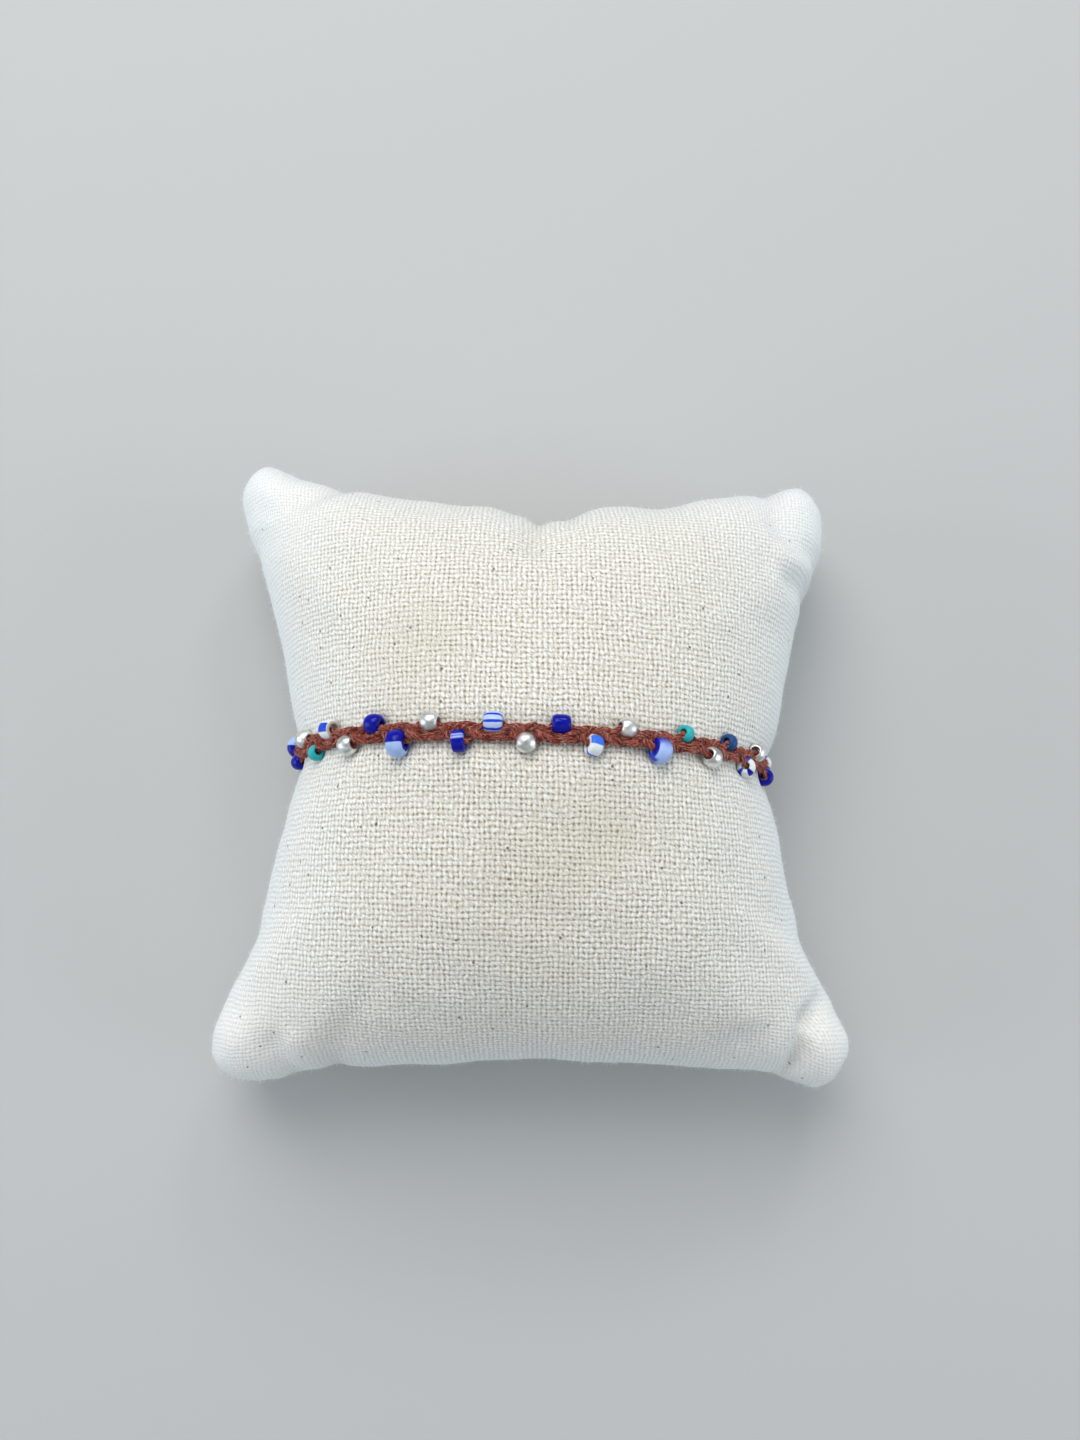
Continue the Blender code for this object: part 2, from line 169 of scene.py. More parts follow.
# Thread spacing of the canvas across and along, then its small forms: puckers along the seam,
# the sunk seam itself, lumps as rows of height, seed and wavelength, and where these stay calm:
# beside the bracelet, and on the table below a height
THREAD_ACROSS, THREAD_ALONG = 0.73, 0.79
PUCKER, PUCKER_FADE, PUCKER_PITCH = 0.20, 3.2, 3.7
SEAM_SINK, SEAM_SINK_HALF = 0.42, 0.42
LUMPS = ((0.30, 11, 21.0), (0.10, 23, 8.0))
CALM_HALF, PRESSED_FLAT = 7.0, 6.0
# Dents of the beads: spare room under a bead, and how far a dent runs past its bead
DENT_ROOM, DENT_PAST, DENT_BESIDE = 0.14, 0.55, 0.85
# Where the nap is worn pale under a painted sheen of cool sky light: reach from the sides and the
# two ends, and how much less near the front, where less light falls
RUBBED_SHEEN_SIDE, RUBBED_SHEEN_NEAR, RUBBED_SHEEN_FAR, NEAR_LESS = 26.0, 20, 27, 0.36


def edge_strays(azimuth):
    """How far the edge strays outwards: the sum of the rows' bumps, out * exp(-(turn / half)^2)."""
    turn = (azimuth[..., None] - EDGE_TUCKS[:, 0] + 180) % 360 - 180
    return (EDGE_TUCKS[:, 1] * np.exp(-(turn / EDGE_TUCKS[:, 2]) ** 2)).sum(-1)


def through(values, at):
    """A smooth curve through one value per station (cubic Hermite pieces), read at the fractions."""
    values = np.asarray(values, float)
    slopes = np.gradient(values, STATIONS)
    k = np.clip(np.searchsorted(STATIONS, at, side="right") - 1, 0, len(STATIONS) - 2)
    span = STATIONS[k + 1] - STATIONS[k]
    u = (at - STATIONS[k]) / span
    start = values[k] * (1 + 2 * u) * (1 - u) ** 2 + span * slopes[k] * u * (1 - u) ** 2
    return start + values[k + 1] * u * u * (3 - 2 * u) - span * slopes[k + 1] * u * u * (1 - u)


def dome(fraction, power):
    """A rounded profile, 1 in the middle and 0 at the edge: (1 - |f|^p)^(1/p)."""
    return (1 - np.minimum(np.abs(fraction), 1.0) ** power) ** (1 / power)


def dome_fractions(power, ratio, spacing):
    """Fractions 0 to 1 whose places along a rounded profile, as a share of its length, are given."""
    t = np.linspace(0, math.pi / 2, 4001)
    across, up = np.sin(t) ** (2 / power), np.cos(t) ** (2 / power)
    along = np.concatenate([[0.0], np.cumsum(np.hypot(np.diff(across), ratio * np.diff(up)))])
    return np.interp(spacing, along / along[-1], across)


def line_y(x):
    """Where the bracelet crosses the pillow: a straight line in plan, y = y0 + slope * x."""
    return LINE_Y + LINE_SLOPE * x


def run_along(x, z):
    """Distance along a path of points, from its first."""
    return np.concatenate([[0.0], np.cumsum(np.hypot(np.diff(x), np.diff(z)))])


def outward(x, z):
    """Unit normals of a closed clockwise path, from the step between each point's neighbours."""
    dx = np.roll(x[:-1], -1) - np.roll(x[:-1], 1)
    dz = np.roll(z[:-1], -1) - np.roll(z[:-1], 1)
    size = np.hypot(dx, dz)
    normal = np.stack([-dz / size, dx / size], -1)
    return np.concatenate([normal, normal[:1]])


def loop_line():
    """The bracelet's centre line: the pillow's section under it, |x/w|^p + |z/h|^p = 1 above and
    below the seam, pushed out by the lift; its points, normals and distance round."""
    t = np.linspace(0, 2 * math.pi, 6001)
    top = np.cos(t) >= 0
    power = np.where(top, TOP_POWER, UNDER_POWER)
    x = WAIST_HALF * np.sign(np.sin(t)) * np.abs(np.sin(t)) ** (2 / power)
    up = np.abs(np.cos(t)) ** (2 / power)
    z = SEAM_Z + np.where(top, (LINE_TOP - SEAM_Z) * up, -(SEAM_Z - LINE_UNDER) * up)
    along = run_along(x, z)
    even = np.linspace(0, along[-1], 2401)
    x, z = np.interp(even, along, x), np.interp(even, along, z)
    normal = outward(x, z)
    lift = LOOP_LIFT + LOOP_LIFT_UNDER * np.clip(-normal[:, 1], 0, 1) ** 2
    x, z = x + lift * normal[:, 0], z + lift * normal[:, 1]
    along = run_along(x, z)
    pull = LOOP_PULL * normal[:, 0] ** 2
    x, z = x - pull * normal[:, 0], z - pull * normal[:, 1]
    return x, z, outward(x, z), along * math.hypot(1.0, LINE_SLOPE * 0.7)


LOOP_X, LOOP_Z, LOOP_N, LOOP_S = loop_line()
LOOP = LOOP_S[-1]

# The beads sit one plait apart. Each row: its plait from the first, shift along the loop, place
# beside its line, height over it, diameter, length
FIRST_BEAD, PITCH = 4.39, 9.344
SEAT_ROWS = [
    # far edge, numbers 01 to 14
    (-7, 0.0, 1.40, -0.3, 2.5, 2.2), (-6, 0.0, 1.60, 0.0, 3.8, 2.5), (-5, 0.3, 1.30, 0.1, 3.0, 2.6),
    (-4, 0.1, 1.55, 0.0, 3.0, 2.3), (-3, 0.4, 1.42, 0.0, 3.05, 2.6), (-2, 0.1, 1.38, 0.0, 3.0, 2.6),
    (-1, -0.2, 1.38, 0.0, 3.0, 2.7), (0, -0.1, 1.38, 0.0, 2.75, 2.65), (1, 0.0, 1.36, 0.0, 3.0, 2.6),
    (2, 0.0, 1.50, -0.1, 2.5, 1.6), (3, -0.5, 1.42, 0.0, 2.6, 1.7), (4, -0.6, 1.30, 0.1, 3.0, 2.5),
    (5, 0.0, 1.30, -0.2, 2.6, 2.2), (6, 0.0, 1.40, -0.3, 2.5, 2.2),
    # near edge, numbers 01 to 13
    (-6.5, 0.0, -1.20, -0.4, 2.1, 1.9), (-5.5, -0.4, -1.50, -0.1, 2.6, 2.3),
    (-4.5, 0.9, -1.50, 0.0, 2.5, 1.7), (-3.5, 0.1, -1.30, 0.1, 3.05, 2.6),
    (-2.5, 0.0, -1.62, 0.35, 4.0, 2.6), (-1.5, -0.3, -1.38, 0.0, 3.25, 1.85),
    (-0.5, -0.2, -1.40, 0.0, 3.0, 2.75), (0.5, -0.1, -1.45, 0.0, 3.1, 2.0),
    (1.5, 0.3, -1.48, 0.2, 3.7, 2.7), (2.5, 0.1, -1.35, 0.15, 3.0, 2.6),
    (3.5, -0.2, -1.55, 0.0, 2.9, 2.1), (4.5, 0.5, -1.60, 0.1, 2.9, 2.2),
    (5.5, 0.0, -1.20, -0.4, 2.1, 1.9),
]
BEAD_SEATS = np.array([(FIRST_BEAD + plait * PITCH + shift, *sizes) for plait, shift, *sizes in SEAT_ROWS])


def cloth_shape(f, g, upper):
    """The cover before its small folds: x = f * half(g), y = line + |g| (edge(f) - line), with each
    corner square of f and g turned into a quarter disc for the round ears. The height is one
    rounded profile times the other, pushed out under the bracelet to carry it."""
    a, b = np.clip((np.abs([f, g]) - 1 + EAR_ROUND) / EAR_ROUND, 0, 1)
    f_in = f - np.sign(f) * EAR_ROUND * a * (1 - np.sqrt(1 - b * b / 2))
    g_in = g - np.sign(g) * EAR_ROUND * b * (1 - np.sqrt(1 - a * a / 2))
    half = np.where(f >= 0, through(RIGHT_HALF, g_in), through(LEFT_HALF, g_in))
    x = f_in * half
    edge = np.where(g >= 0, through(FAR_EDGE, f_in), -through(NEAR_EDGE, f_in))
    y = line_y(x) + np.abs(g_in) * (edge - line_y(x))
    away = y - line_y(x)
    seam = SEAM_Z - EAR_DROP * np.abs(f * g) ** 3
    x = x * (1 - SIDE_GIVE / (WAIST_HALF + SIDE_GIVE) * np.exp(-(away / SIDE_GIVE_HALF) ** 2))
    section = np.clip(np.abs(f), 0, 0.99999)
    if upper:
        end_power = np.where(g >= 0, FAR_POWER, NEAR_POWER)
        rise = (LINE_TOP + TOP_GIVE - seam) * dome(f, TOP_POWER) * dome(g, end_power)
        dip = TOP_GIVE / (LINE_TOP + TOP_GIVE - SEAM_Z) * np.exp(-(away / TOP_GIVE_HALF) ** 2)
        z = seam + rise * (1 - dip)
        nx = section ** (TOP_POWER - 1) / WAIST_HALF
        nz = dome(section, TOP_POWER) ** (TOP_POWER - 1) / (LINE_TOP - SEAM_Z)
    else:
        sag = SAG * dome(f, SAG_POWER) * dome(g, SAG_POWER)
        resting = np.maximum(seam * (1 - sag), 0.0)
        grooved = SEAM_Z - (SEAM_Z - LINE_UNDER) * dome(f, UNDER_POWER)
        share = np.exp(-(np.abs(g) / GROOVE_HALF) ** 6)
        z = resting + (grooved - resting) * share
        nx = section ** (UNDER_POWER - 1) / WAIST_HALF
        nz = -dome(section, UNDER_POWER) ** (UNDER_POWER - 1) / (SEAM_Z - LINE_UNDER)
    size = np.hypot(nx, nz)
    nx, nz = nx / size * np.sign(f), nz / size
    ridge = np.exp(-(away / (RIDGE_HALF + RIDGE_HALF_MORE * nz ** 2)) ** 2)
    carry = (LOOP_LIFT - LOOP_PULL * nx ** 2 - CLOTH_UNDER_LOOP) * ridge
    x = x + nx * carry
    if upper:
        z = z + nz * carry
    else:
        z = z + nz * (LOOP_LIFT - CLOTH_UNDER_LOOP + LOOP_LIFT_UNDER * nz ** 2) * share
    from_middle = y - EDGE_MIDDLE_Y
    strays = edge_strays(np.degrees(np.arctan2(from_middle, x)) + 180)
    strays = strays * np.maximum(np.abs(f), np.abs(g)) ** 4
    reach = np.hypot(x, from_middle) + 1e-9
    x, y = x + strays * x / reach, y + strays * from_middle / reach
    return np.stack([x, y, z], -1), away


def arc(points, axis, middle):
    """Distance along the grid lines of one axis from its middle line, minus on the low side."""
    step = np.linalg.norm(np.diff(points, axis=axis), axis=-1)
    zero = np.zeros_like(np.take(step, [0], axis=axis))
    run = np.concatenate([zero, np.cumsum(step, axis=axis)], axis=axis)
    return run - np.take(run, [middle], axis=axis)


def to_rim(run, axis, fraction):
    """Distance left to the rim on the fraction's own side, from the distance run to each point."""
    low, high = np.take(run, [0], axis=axis), np.take(run, [-1], axis=axis)
    return np.abs(low) * (fraction < 0) + np.abs(high) * (fraction >= 0) - np.abs(run)


def nearest_s(x, z):
    """Place along the bracelet nearest to each point of the section."""
    d = (x[:, None] - LOOP_X[None, :-1]) ** 2 + (z[:, None] - LOOP_Z[None, :-1]) ** 2
    s = LOOP_S[np.argmin(d, axis=1)]
    return np.where(s > LOOP / 2, s - LOOP, s)


def soft_noise(x, y, seed, wavelength):
    """Rolling lumps: twelve sine waves in fixed pseudo-random directions, summed, over 4.9 for a
    spread of about a half."""
    waves = np.random.default_rng(seed)
    turn = waves.uniform(0, 2 * math.pi, 12)
    length = wavelength * waves.uniform(0.7, 1.6, 12)
    shift = waves.uniform(0, 2 * math.pi, 12)
    total = 0.0
    for way, wave, start in zip(turn, length, shift):
        total = total + np.sin(2 * math.pi * (x * math.cos(way) + y * math.sin(way)) / wave + start)
    return total / 4.9


# The grid: even steps along each profile, but closer lines at the rim and beside the bracelet, at
# these millimetres from them. Then about how long half a row and half a column are over the cloth,
# how far the columns reach in plan, and the height of each profile as a share of its width
COLUMNS_HALF, ROWS_HALF = 88, 74
FROM_RIM = np.array([1.9, 1.35, 0.9, 0.55, 0.27, 0.0])
FROM_LOOP = np.array([0.4, 0.8, 1.2, 1.6, 2.0, 2.4, 2.8, 3.2, 3.7, 4.3, 5.0, 5.7])
ROUND_WIDE, ROUND_LONG, FIRST_EVEN_ROW = 60.0, 62.0, 6.4
PLAN_FAR, PLAN_NEAR = 42.0, 46.6
TOP_SHARE, FAR_SHARE, NEAR_SHARE = 0.95, 0.83, 0.77
edge_dense = 1 - FROM_RIM / ROUND_WIDE
column_share = np.concatenate([np.linspace(0, edge_dense[0], COLUMNS_HALF)[:-1], edge_dense])
half_columns = dome_fractions(TOP_POWER, TOP_SHARE, column_share)
f_line = np.concatenate([-half_columns[:0:-1], half_columns])
even_rows = np.linspace(FIRST_EVEN_ROW / ROUND_LONG, edge_dense[0], ROWS_HALF)
row_share = np.concatenate([even_rows[:-1], edge_dense])
far_rows = np.concatenate([FROM_LOOP / PLAN_FAR, dome_fractions(FAR_POWER, FAR_SHARE, row_share)])
near_rows = np.concatenate([FROM_LOOP / PLAN_NEAR, dome_fractions(NEAR_POWER, NEAR_SHARE, row_share)])
g_line = np.concatenate([-near_rows[::-1], [0.0], far_rows])
F, G = np.meshgrid(f_line, g_line, indexing="ij")
wide, deep = F.shape
mid_f, mid_g = len(half_columns) - 1, len(near_rows)


def bead_dents(shape, away):
    """The dent of each bead: depth * exp(-(gap along / reach)^4 - (gap beside / reach)^2), summed."""
    seat, beside, height, thick, long = BEAD_SEATS.T
    s = nearest_s(shape[:, mid_g, 0], shape[:, mid_g, 2])[:, None]
    gap = (s[..., None] - seat + LOOP / 2) % LOOP - LOOP / 2
    depth = np.maximum(thick / 2 - height - CLOTH_UNDER_LOOP + DENT_ROOM, 0.0)
    return (depth * np.exp(-(gap / (0.5 * long + DENT_PAST)) ** 4
                           - ((away[..., None] - beside) / (DENT_BESIDE * thick / 2)) ** 2)).sum(-1)


def face(side_up):
    """One square of canvas: its points, the height of its small forms, its thread counts for the
    UV map, and how far its nap is worn pale and painted with a cool sky sheen."""
    shape, away = cloth_shape(F, G, side_up)
    x, y, z = np.moveaxis(shape, -1, 0)
    across, along = arc(shape, 0, mid_f), arc(shape, 1, mid_g)
    to_side, to_end = to_rim(across, 0, F), to_rim(along, 1, G)
    to_edge = np.minimum(to_side, to_end)
    calm = 1 - np.exp(-(away / CALM_HALF) ** 2)
    around = np.where(np.abs(F) > np.abs(G), along, across)
    pucker = np.sin(2 * math.pi * around / PUCKER_PITCH + 1.9 * soft_noise(x, y, 5, 14.0))
    lumps = sum(lump * soft_noise(x, y, seed, wavelength) for lump, seed, wavelength in LUMPS)
    if not side_up:
        free = np.clip(z / PRESSED_FLAT, 0, 1)
        lumps, pucker = lumps * free, pucker * free
    relief = -bead_dents(shape, away) + calm * (lumps + PUCKER * pucker * np.exp(-to_edge / PUCKER_FADE)
                                                - SEAM_SINK * np.exp(-(to_edge / SEAM_SINK_HALF) ** 2))
    threads = np.stack([across / THREAD_ACROSS, along / THREAD_ALONG], -1)
    # near_share takes the painted sky sheen back towards the near edge, which faces away from the light
    near_share = np.clip(-G, 0, 1) ** 2 * np.clip(1 - (np.abs(F) - 0.55) / 0.3, 0.55, 1)
    end_reach = np.where(G > 0, RUBBED_SHEEN_FAR, RUBBED_SHEEN_NEAR)
    inner = (1 - np.exp(-(to_side / RUBBED_SHEEN_SIDE) ** 2)) * (1 - np.exp(-(to_end / end_reach) ** 2))
    return shape, relief, threads, (1 - inner) * (1 - NEAR_LESS * near_share)


# Folds and lobes of the upper face: x, y of both ends in plan, depth (minus stands up), half-width
EAR_FOLDS = [
    # near right ear: a sharp valley beside its lobe, and a long soft one
    (44.6, -37.0, 42.4, -39.8, 1.1, 1.7), (42.4, -39.8, 40.2, -47.0, 1.8, 1.7),
    (47.8, -43.5, 46.0, -47.0, -1.2, 3.6), (34.5, -41.5, 28.5, -44.0, 0.7, 2.4),
    # near left ear
    (-38.6, -43.6, -36.4, -49.5, 0.6, 2.3), (-46.0, -42.0, -44.0, -46.5, -1.0, 4.0),
    (-34.8, -43.0, -33.5, -47.0, -0.5, 2.0),
    # far left ear
    (-32.5, 45.5, -37.5, 42.6, 1.1, 2.4), (-48.0, 49.5, -45.0, 47.5, -1.0, 4.5),
    (-47.0, 38.0, -43.0, 36.0, 0.6, 3.0),
    # far right ear
    (40.5, 46.5, 40.6, 39.5, 0.9, 2.6), (41.5, 36.0, 48.0, 34.4, 0.45, 2.0),
    (37.5, 30.5, 42.0, 28.6, 0.5, 2.0), (42.0, 28.6, 47.0, 29.6, 0.9, 1.9),
    (39.5, 32.3, 46.5, 32.2, -0.3, 1.5), (47.5, 44.5, 46.5, 41.5, -0.9, 4.2),
    # tuck in the middle of the far edge, between two shoulders
    (1.4, 41.0, 0.6, 31.0, 1.5, 2.0), (-6.8, 40.0, -6.6, 36.5, -0.7, 3.4),
    (15.5, 41.5, 15.0, 37.5, -0.6, 4.5),
]
upper, under = face(True), face(False)
x, y = upper[0][..., 0], upper[0][..., 1]
folds = np.zeros_like(x)
for x0, y0, x1, y1, fold_depth, fold_half in EAR_FOLDS:
    run = np.array([x1 - x0, y1 - y0])
    t = np.clip(((x - x0) * run[0] + (y - y0) * run[1]) / (run @ run), 0, 1)
    off = np.hypot(x - x0 - t * run[0], y - y0 - t * run[1])
    folds += fold_depth * np.exp(-(off / fold_half) ** 2)


def squares(grid, order):
    """The four corners of each square of a grid, taken in the given order round it."""
    corners = (grid[:-1, :-1], grid[1:, :-1], grid[1:, 1:], grid[:-1, 1:])
    return np.stack([corners[k] for k in order], 2)


def both_faces(upper_values, under_values):
    """One value a point: all of the upper face, then the lower one without their shared rim."""
    return np.concatenate([upper_values.reshape(wide * deep, -1),
                           under_values[1:-1, 1:-1].reshape((wide - 2) * (deep - 2), -1)])


FACE_UP, FACE_DOWN = (0, 1, 2, 3), (0, 3, 2, 1)
upper_index = np.arange(wide * deep).reshape(wide, deep)
under_index = upper_index.copy()
under_index[1:-1, 1:-1] = wide * deep + np.arange((wide - 2) * (deep - 2)).reshape(wide - 2, deep - 2)
points = both_faces(upper[0], under[0])
relief = both_faces(upper[1] - folds, under[1])
rubbed_and_sheen = both_faces(upper[3], under[3])[:, 0]
quads = np.concatenate([squares(upper_index, FACE_UP).reshape(-1, 4),
                        squares(under_index, FACE_DOWN).reshape(-1, 4)])
threads = np.concatenate([squares(upper[2], FACE_UP).reshape(-1, 2),
                          squares(under[2], FACE_DOWN).reshape(-1, 2)])


def quad_mesh(name, points, quads, uv=None, uv_name="UVMap"):
    """A smooth mesh from points in millimetres in the bracelet's own frame, moved to the CAD's."""
    mesh = bpy.data.meshes.new(name)
    points = (np.asarray(points, float).reshape(-1, 3) - MIDDLE) * MM
    quads = np.asarray(quads, np.int32)
    mesh.vertices.add(len(points))
    mesh.vertices.foreach_set("co", points.astype(np.float32).ravel())
    mesh.loops.add(quads.size)
    mesh.loops.foreach_set("vertex_index", quads.ravel())
    mesh.polygons.add(len(quads))
    mesh.polygons.foreach_set("loop_start", np.arange(0, quads.size, quads.shape[1], dtype=np.int32))
    mesh.update(calc_edges=True)
    mesh.polygons.foreach_set("use_smooth", np.ones(len(quads), bool))
    if uv is not None:
        mesh.uv_layers.new(name=uv_name).data.foreach_set("uv", np.asarray(uv, np.float32).ravel())
    mesh.validate()
    return mesh


def show(name, mesh, material, slot, *stands_for):
    """Makes the mesh a piece of the bracelet's one body, with its finish and its CAD nodes."""
    piece = stand(name, mesh)
    mesh.materials.append(material)
    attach(piece, "root")
    if stands_for:
        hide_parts(*stands_for)
    return piece


def sums(operation, *values):
    """One Math node on the values, in their order, in the tree that the first linked one is in."""
    tree = next(value.id_data for value in values if isinstance(value, bpy.types.NodeSocket))
    return make(tree, "Math", enumerate(values), operation=operation).outputs[0]


def times(first, second):
    """One value times another."""
    return sums("MULTIPLY", first, second)


def scaled(value, by, plus):
    """A value times one number plus another."""
    return sums("MULTIPLY_ADD", value, by, plus)


def tint(share, first, second):
    """A colour between two colours, each given as three numbers or as a node's output."""
    first, second = ((*c, 1.0) if isinstance(c, tuple) else c for c in (first, second))
    return make(share.id_data, "Mix", {0: share, 6: first, 7: second}, data_type="RGBA").outputs[2]


def between(value, low, high, out_low=0.0, out_high=1.0):
    """A value carried smoothly from one range into another and held there."""
    return make(value.id_data, "MapRange", {0: value, 1: low, 2: high, 3: out_low, 4: out_high},
                interpolation_type="SMOOTHSTEP").outputs[0]


def shaded(colour, *shades):
    """A colour tinted in turn: each shade's share grows from none, where its value is at low, to
    its most, where the value is at high."""
    for value, low, high, most, shade in shades:
        colour = tint(between(value, low, high, 0.0, most), colour, shade)
    return colour


def noise(at, scale, detail, roughness=0.5, flat=False):
    """Cloudy noise in space, or on a flat map; its outputs are the value and the colour."""
    return make(at.id_data, "TexNoise",
                {"Vector": at, "Scale": scale, "Detail": detail, "Roughness": roughness},
                noise_dimensions="2D" if flat else "3D").outputs


def chance(at):
    """One random value for each whole-numbered place on a flat map."""
    return make(at.id_data, "TexWhiteNoise", {0: at}, noise_dimensions="2D").outputs["Value"]


def vectors(operation, first, second):
    """One Vector Math node on two vectors; its outputs are a vector and a value."""
    return make(first.id_data, "VectorMath", {0: first, 1: second}, operation=operation).outputs


def joined(*parts):
    """A vector from its two or three parts."""
    return make(parts[0].id_data, "CombineXYZ", enumerate(parts)).outputs[0]


def split(vector):
    """The three parts of a vector."""
    return make(vector.id_data, "SeparateXYZ", {0: vector}).outputs


def raised(height, strength, distance, **more):
    """The surface's direction, tilted by a height that is at most the distance, in metres."""
    values = {"Height": height, "Strength": strength, "Distance": distance, **more}
    return make(height.id_data, "Bump", values).outputs[0]


def place_on(tree):
    """The place on the object, in metres."""
    return make(tree, "TexCoord").outputs["Object"]


def wandering_threads(tree):
    """The thread counts of the UV map, their threads drifting slowly and jittering quickly."""
    uv = make(tree, "UVMap", uv_map="threads").outputs[0]
    moved = uv
    for scale, detail, amount in ((0.16, 1.0, 0.8), (0.8, 2.0, 0.50)):
        wander = noise(uv, scale, detail, flat=True)["Color"]
        wander = vectors("MULTIPLY", wander, (amount, amount, 0.0))[0]
        moved = vectors("ADD", moved, wander)[0]
    return vectors("ADD", moved, (400.0, 400.0, 0.0))[0]


def plain_weave(u, v, rubbed_and_sheen):
    """Height, pinholes, tone of each knot, tone of each thread and where the warp is on top. A
    thread is an arched ridge, the root of sin(pi * fraction), that dives under every second
    crossing. A pinhole of random size lies at each corner between four threads."""
    warp_no, weft_no = sums("FLOOR", u), sums("FLOOR", v)
    su, sv = (sums("SINE", times(sums("FRACT", w), math.pi)) for w in (u, v))
    turn = sums("MODULO", sums("ADD", warp_no, weft_no), 2.0)
    sign = scaled(turn, -2.0, 1.0)
    warp = times(sums("POWER", su, 0.5), scaled(times(sign, sv), 0.36, 0.64))
    weft = times(sums("POWER", sv, 0.5), scaled(times(sign, su), -0.36, 0.64))
    height = sums("SMOOTH_MAX", warp, weft, 0.15)
    warp_on_top = sums("GREATER_THAN", warp, weft)
    corner_u, corner_v = sums("ROUND", u), sums("ROUND", v)
    luck = chance(joined(corner_u, corner_v))
    du, dv = sums("SUBTRACT", u, corner_u), sums("SUBTRACT", v, corner_v)
    away = sums("SQRT", sums("ADD", times(du, du), times(dv, dv)))
    hole = sums("SUBTRACT", 1.0, between(away, 0.05, scaled(luck, 0.17, 0.22)))
    hole = times(hole, scaled(luck, 0.75, 0.25))
    # The pinholes' painted shade fades where the nap is worn and the sky sheen is painted
    hole = times(hole, scaled(rubbed_and_sheen, -0.72, 1.0))
    knot_tone = chance(joined(warp_no, weft_no))
    warp_tone = noise(joined(warp_no, times(v, 0.13)), 3.7, 2.0, flat=True)[0]
    weft_tone = noise(joined(times(u, 0.13), weft_no), 3.1, 2.0, flat=True)[0]
    thread_tone = make(u.id_data, "Mix", {0: warp_on_top, 2: weft_tone, 3: warp_tone}).outputs[0]
    return height, hole, knot_tone, thread_tone, warp_on_top


# Stains of the canvas: place in metres, reach and strength
STAINS = (((0.002, -0.021, 0.048), 0.018, 0.30), ((-0.017, 0.011, 0.048), 0.013, 0.26),
          ((0.015, 0.008, 0.048), 0.009, 0.14), ((0.011, -0.016, 0.048), 0.013, 0.34))


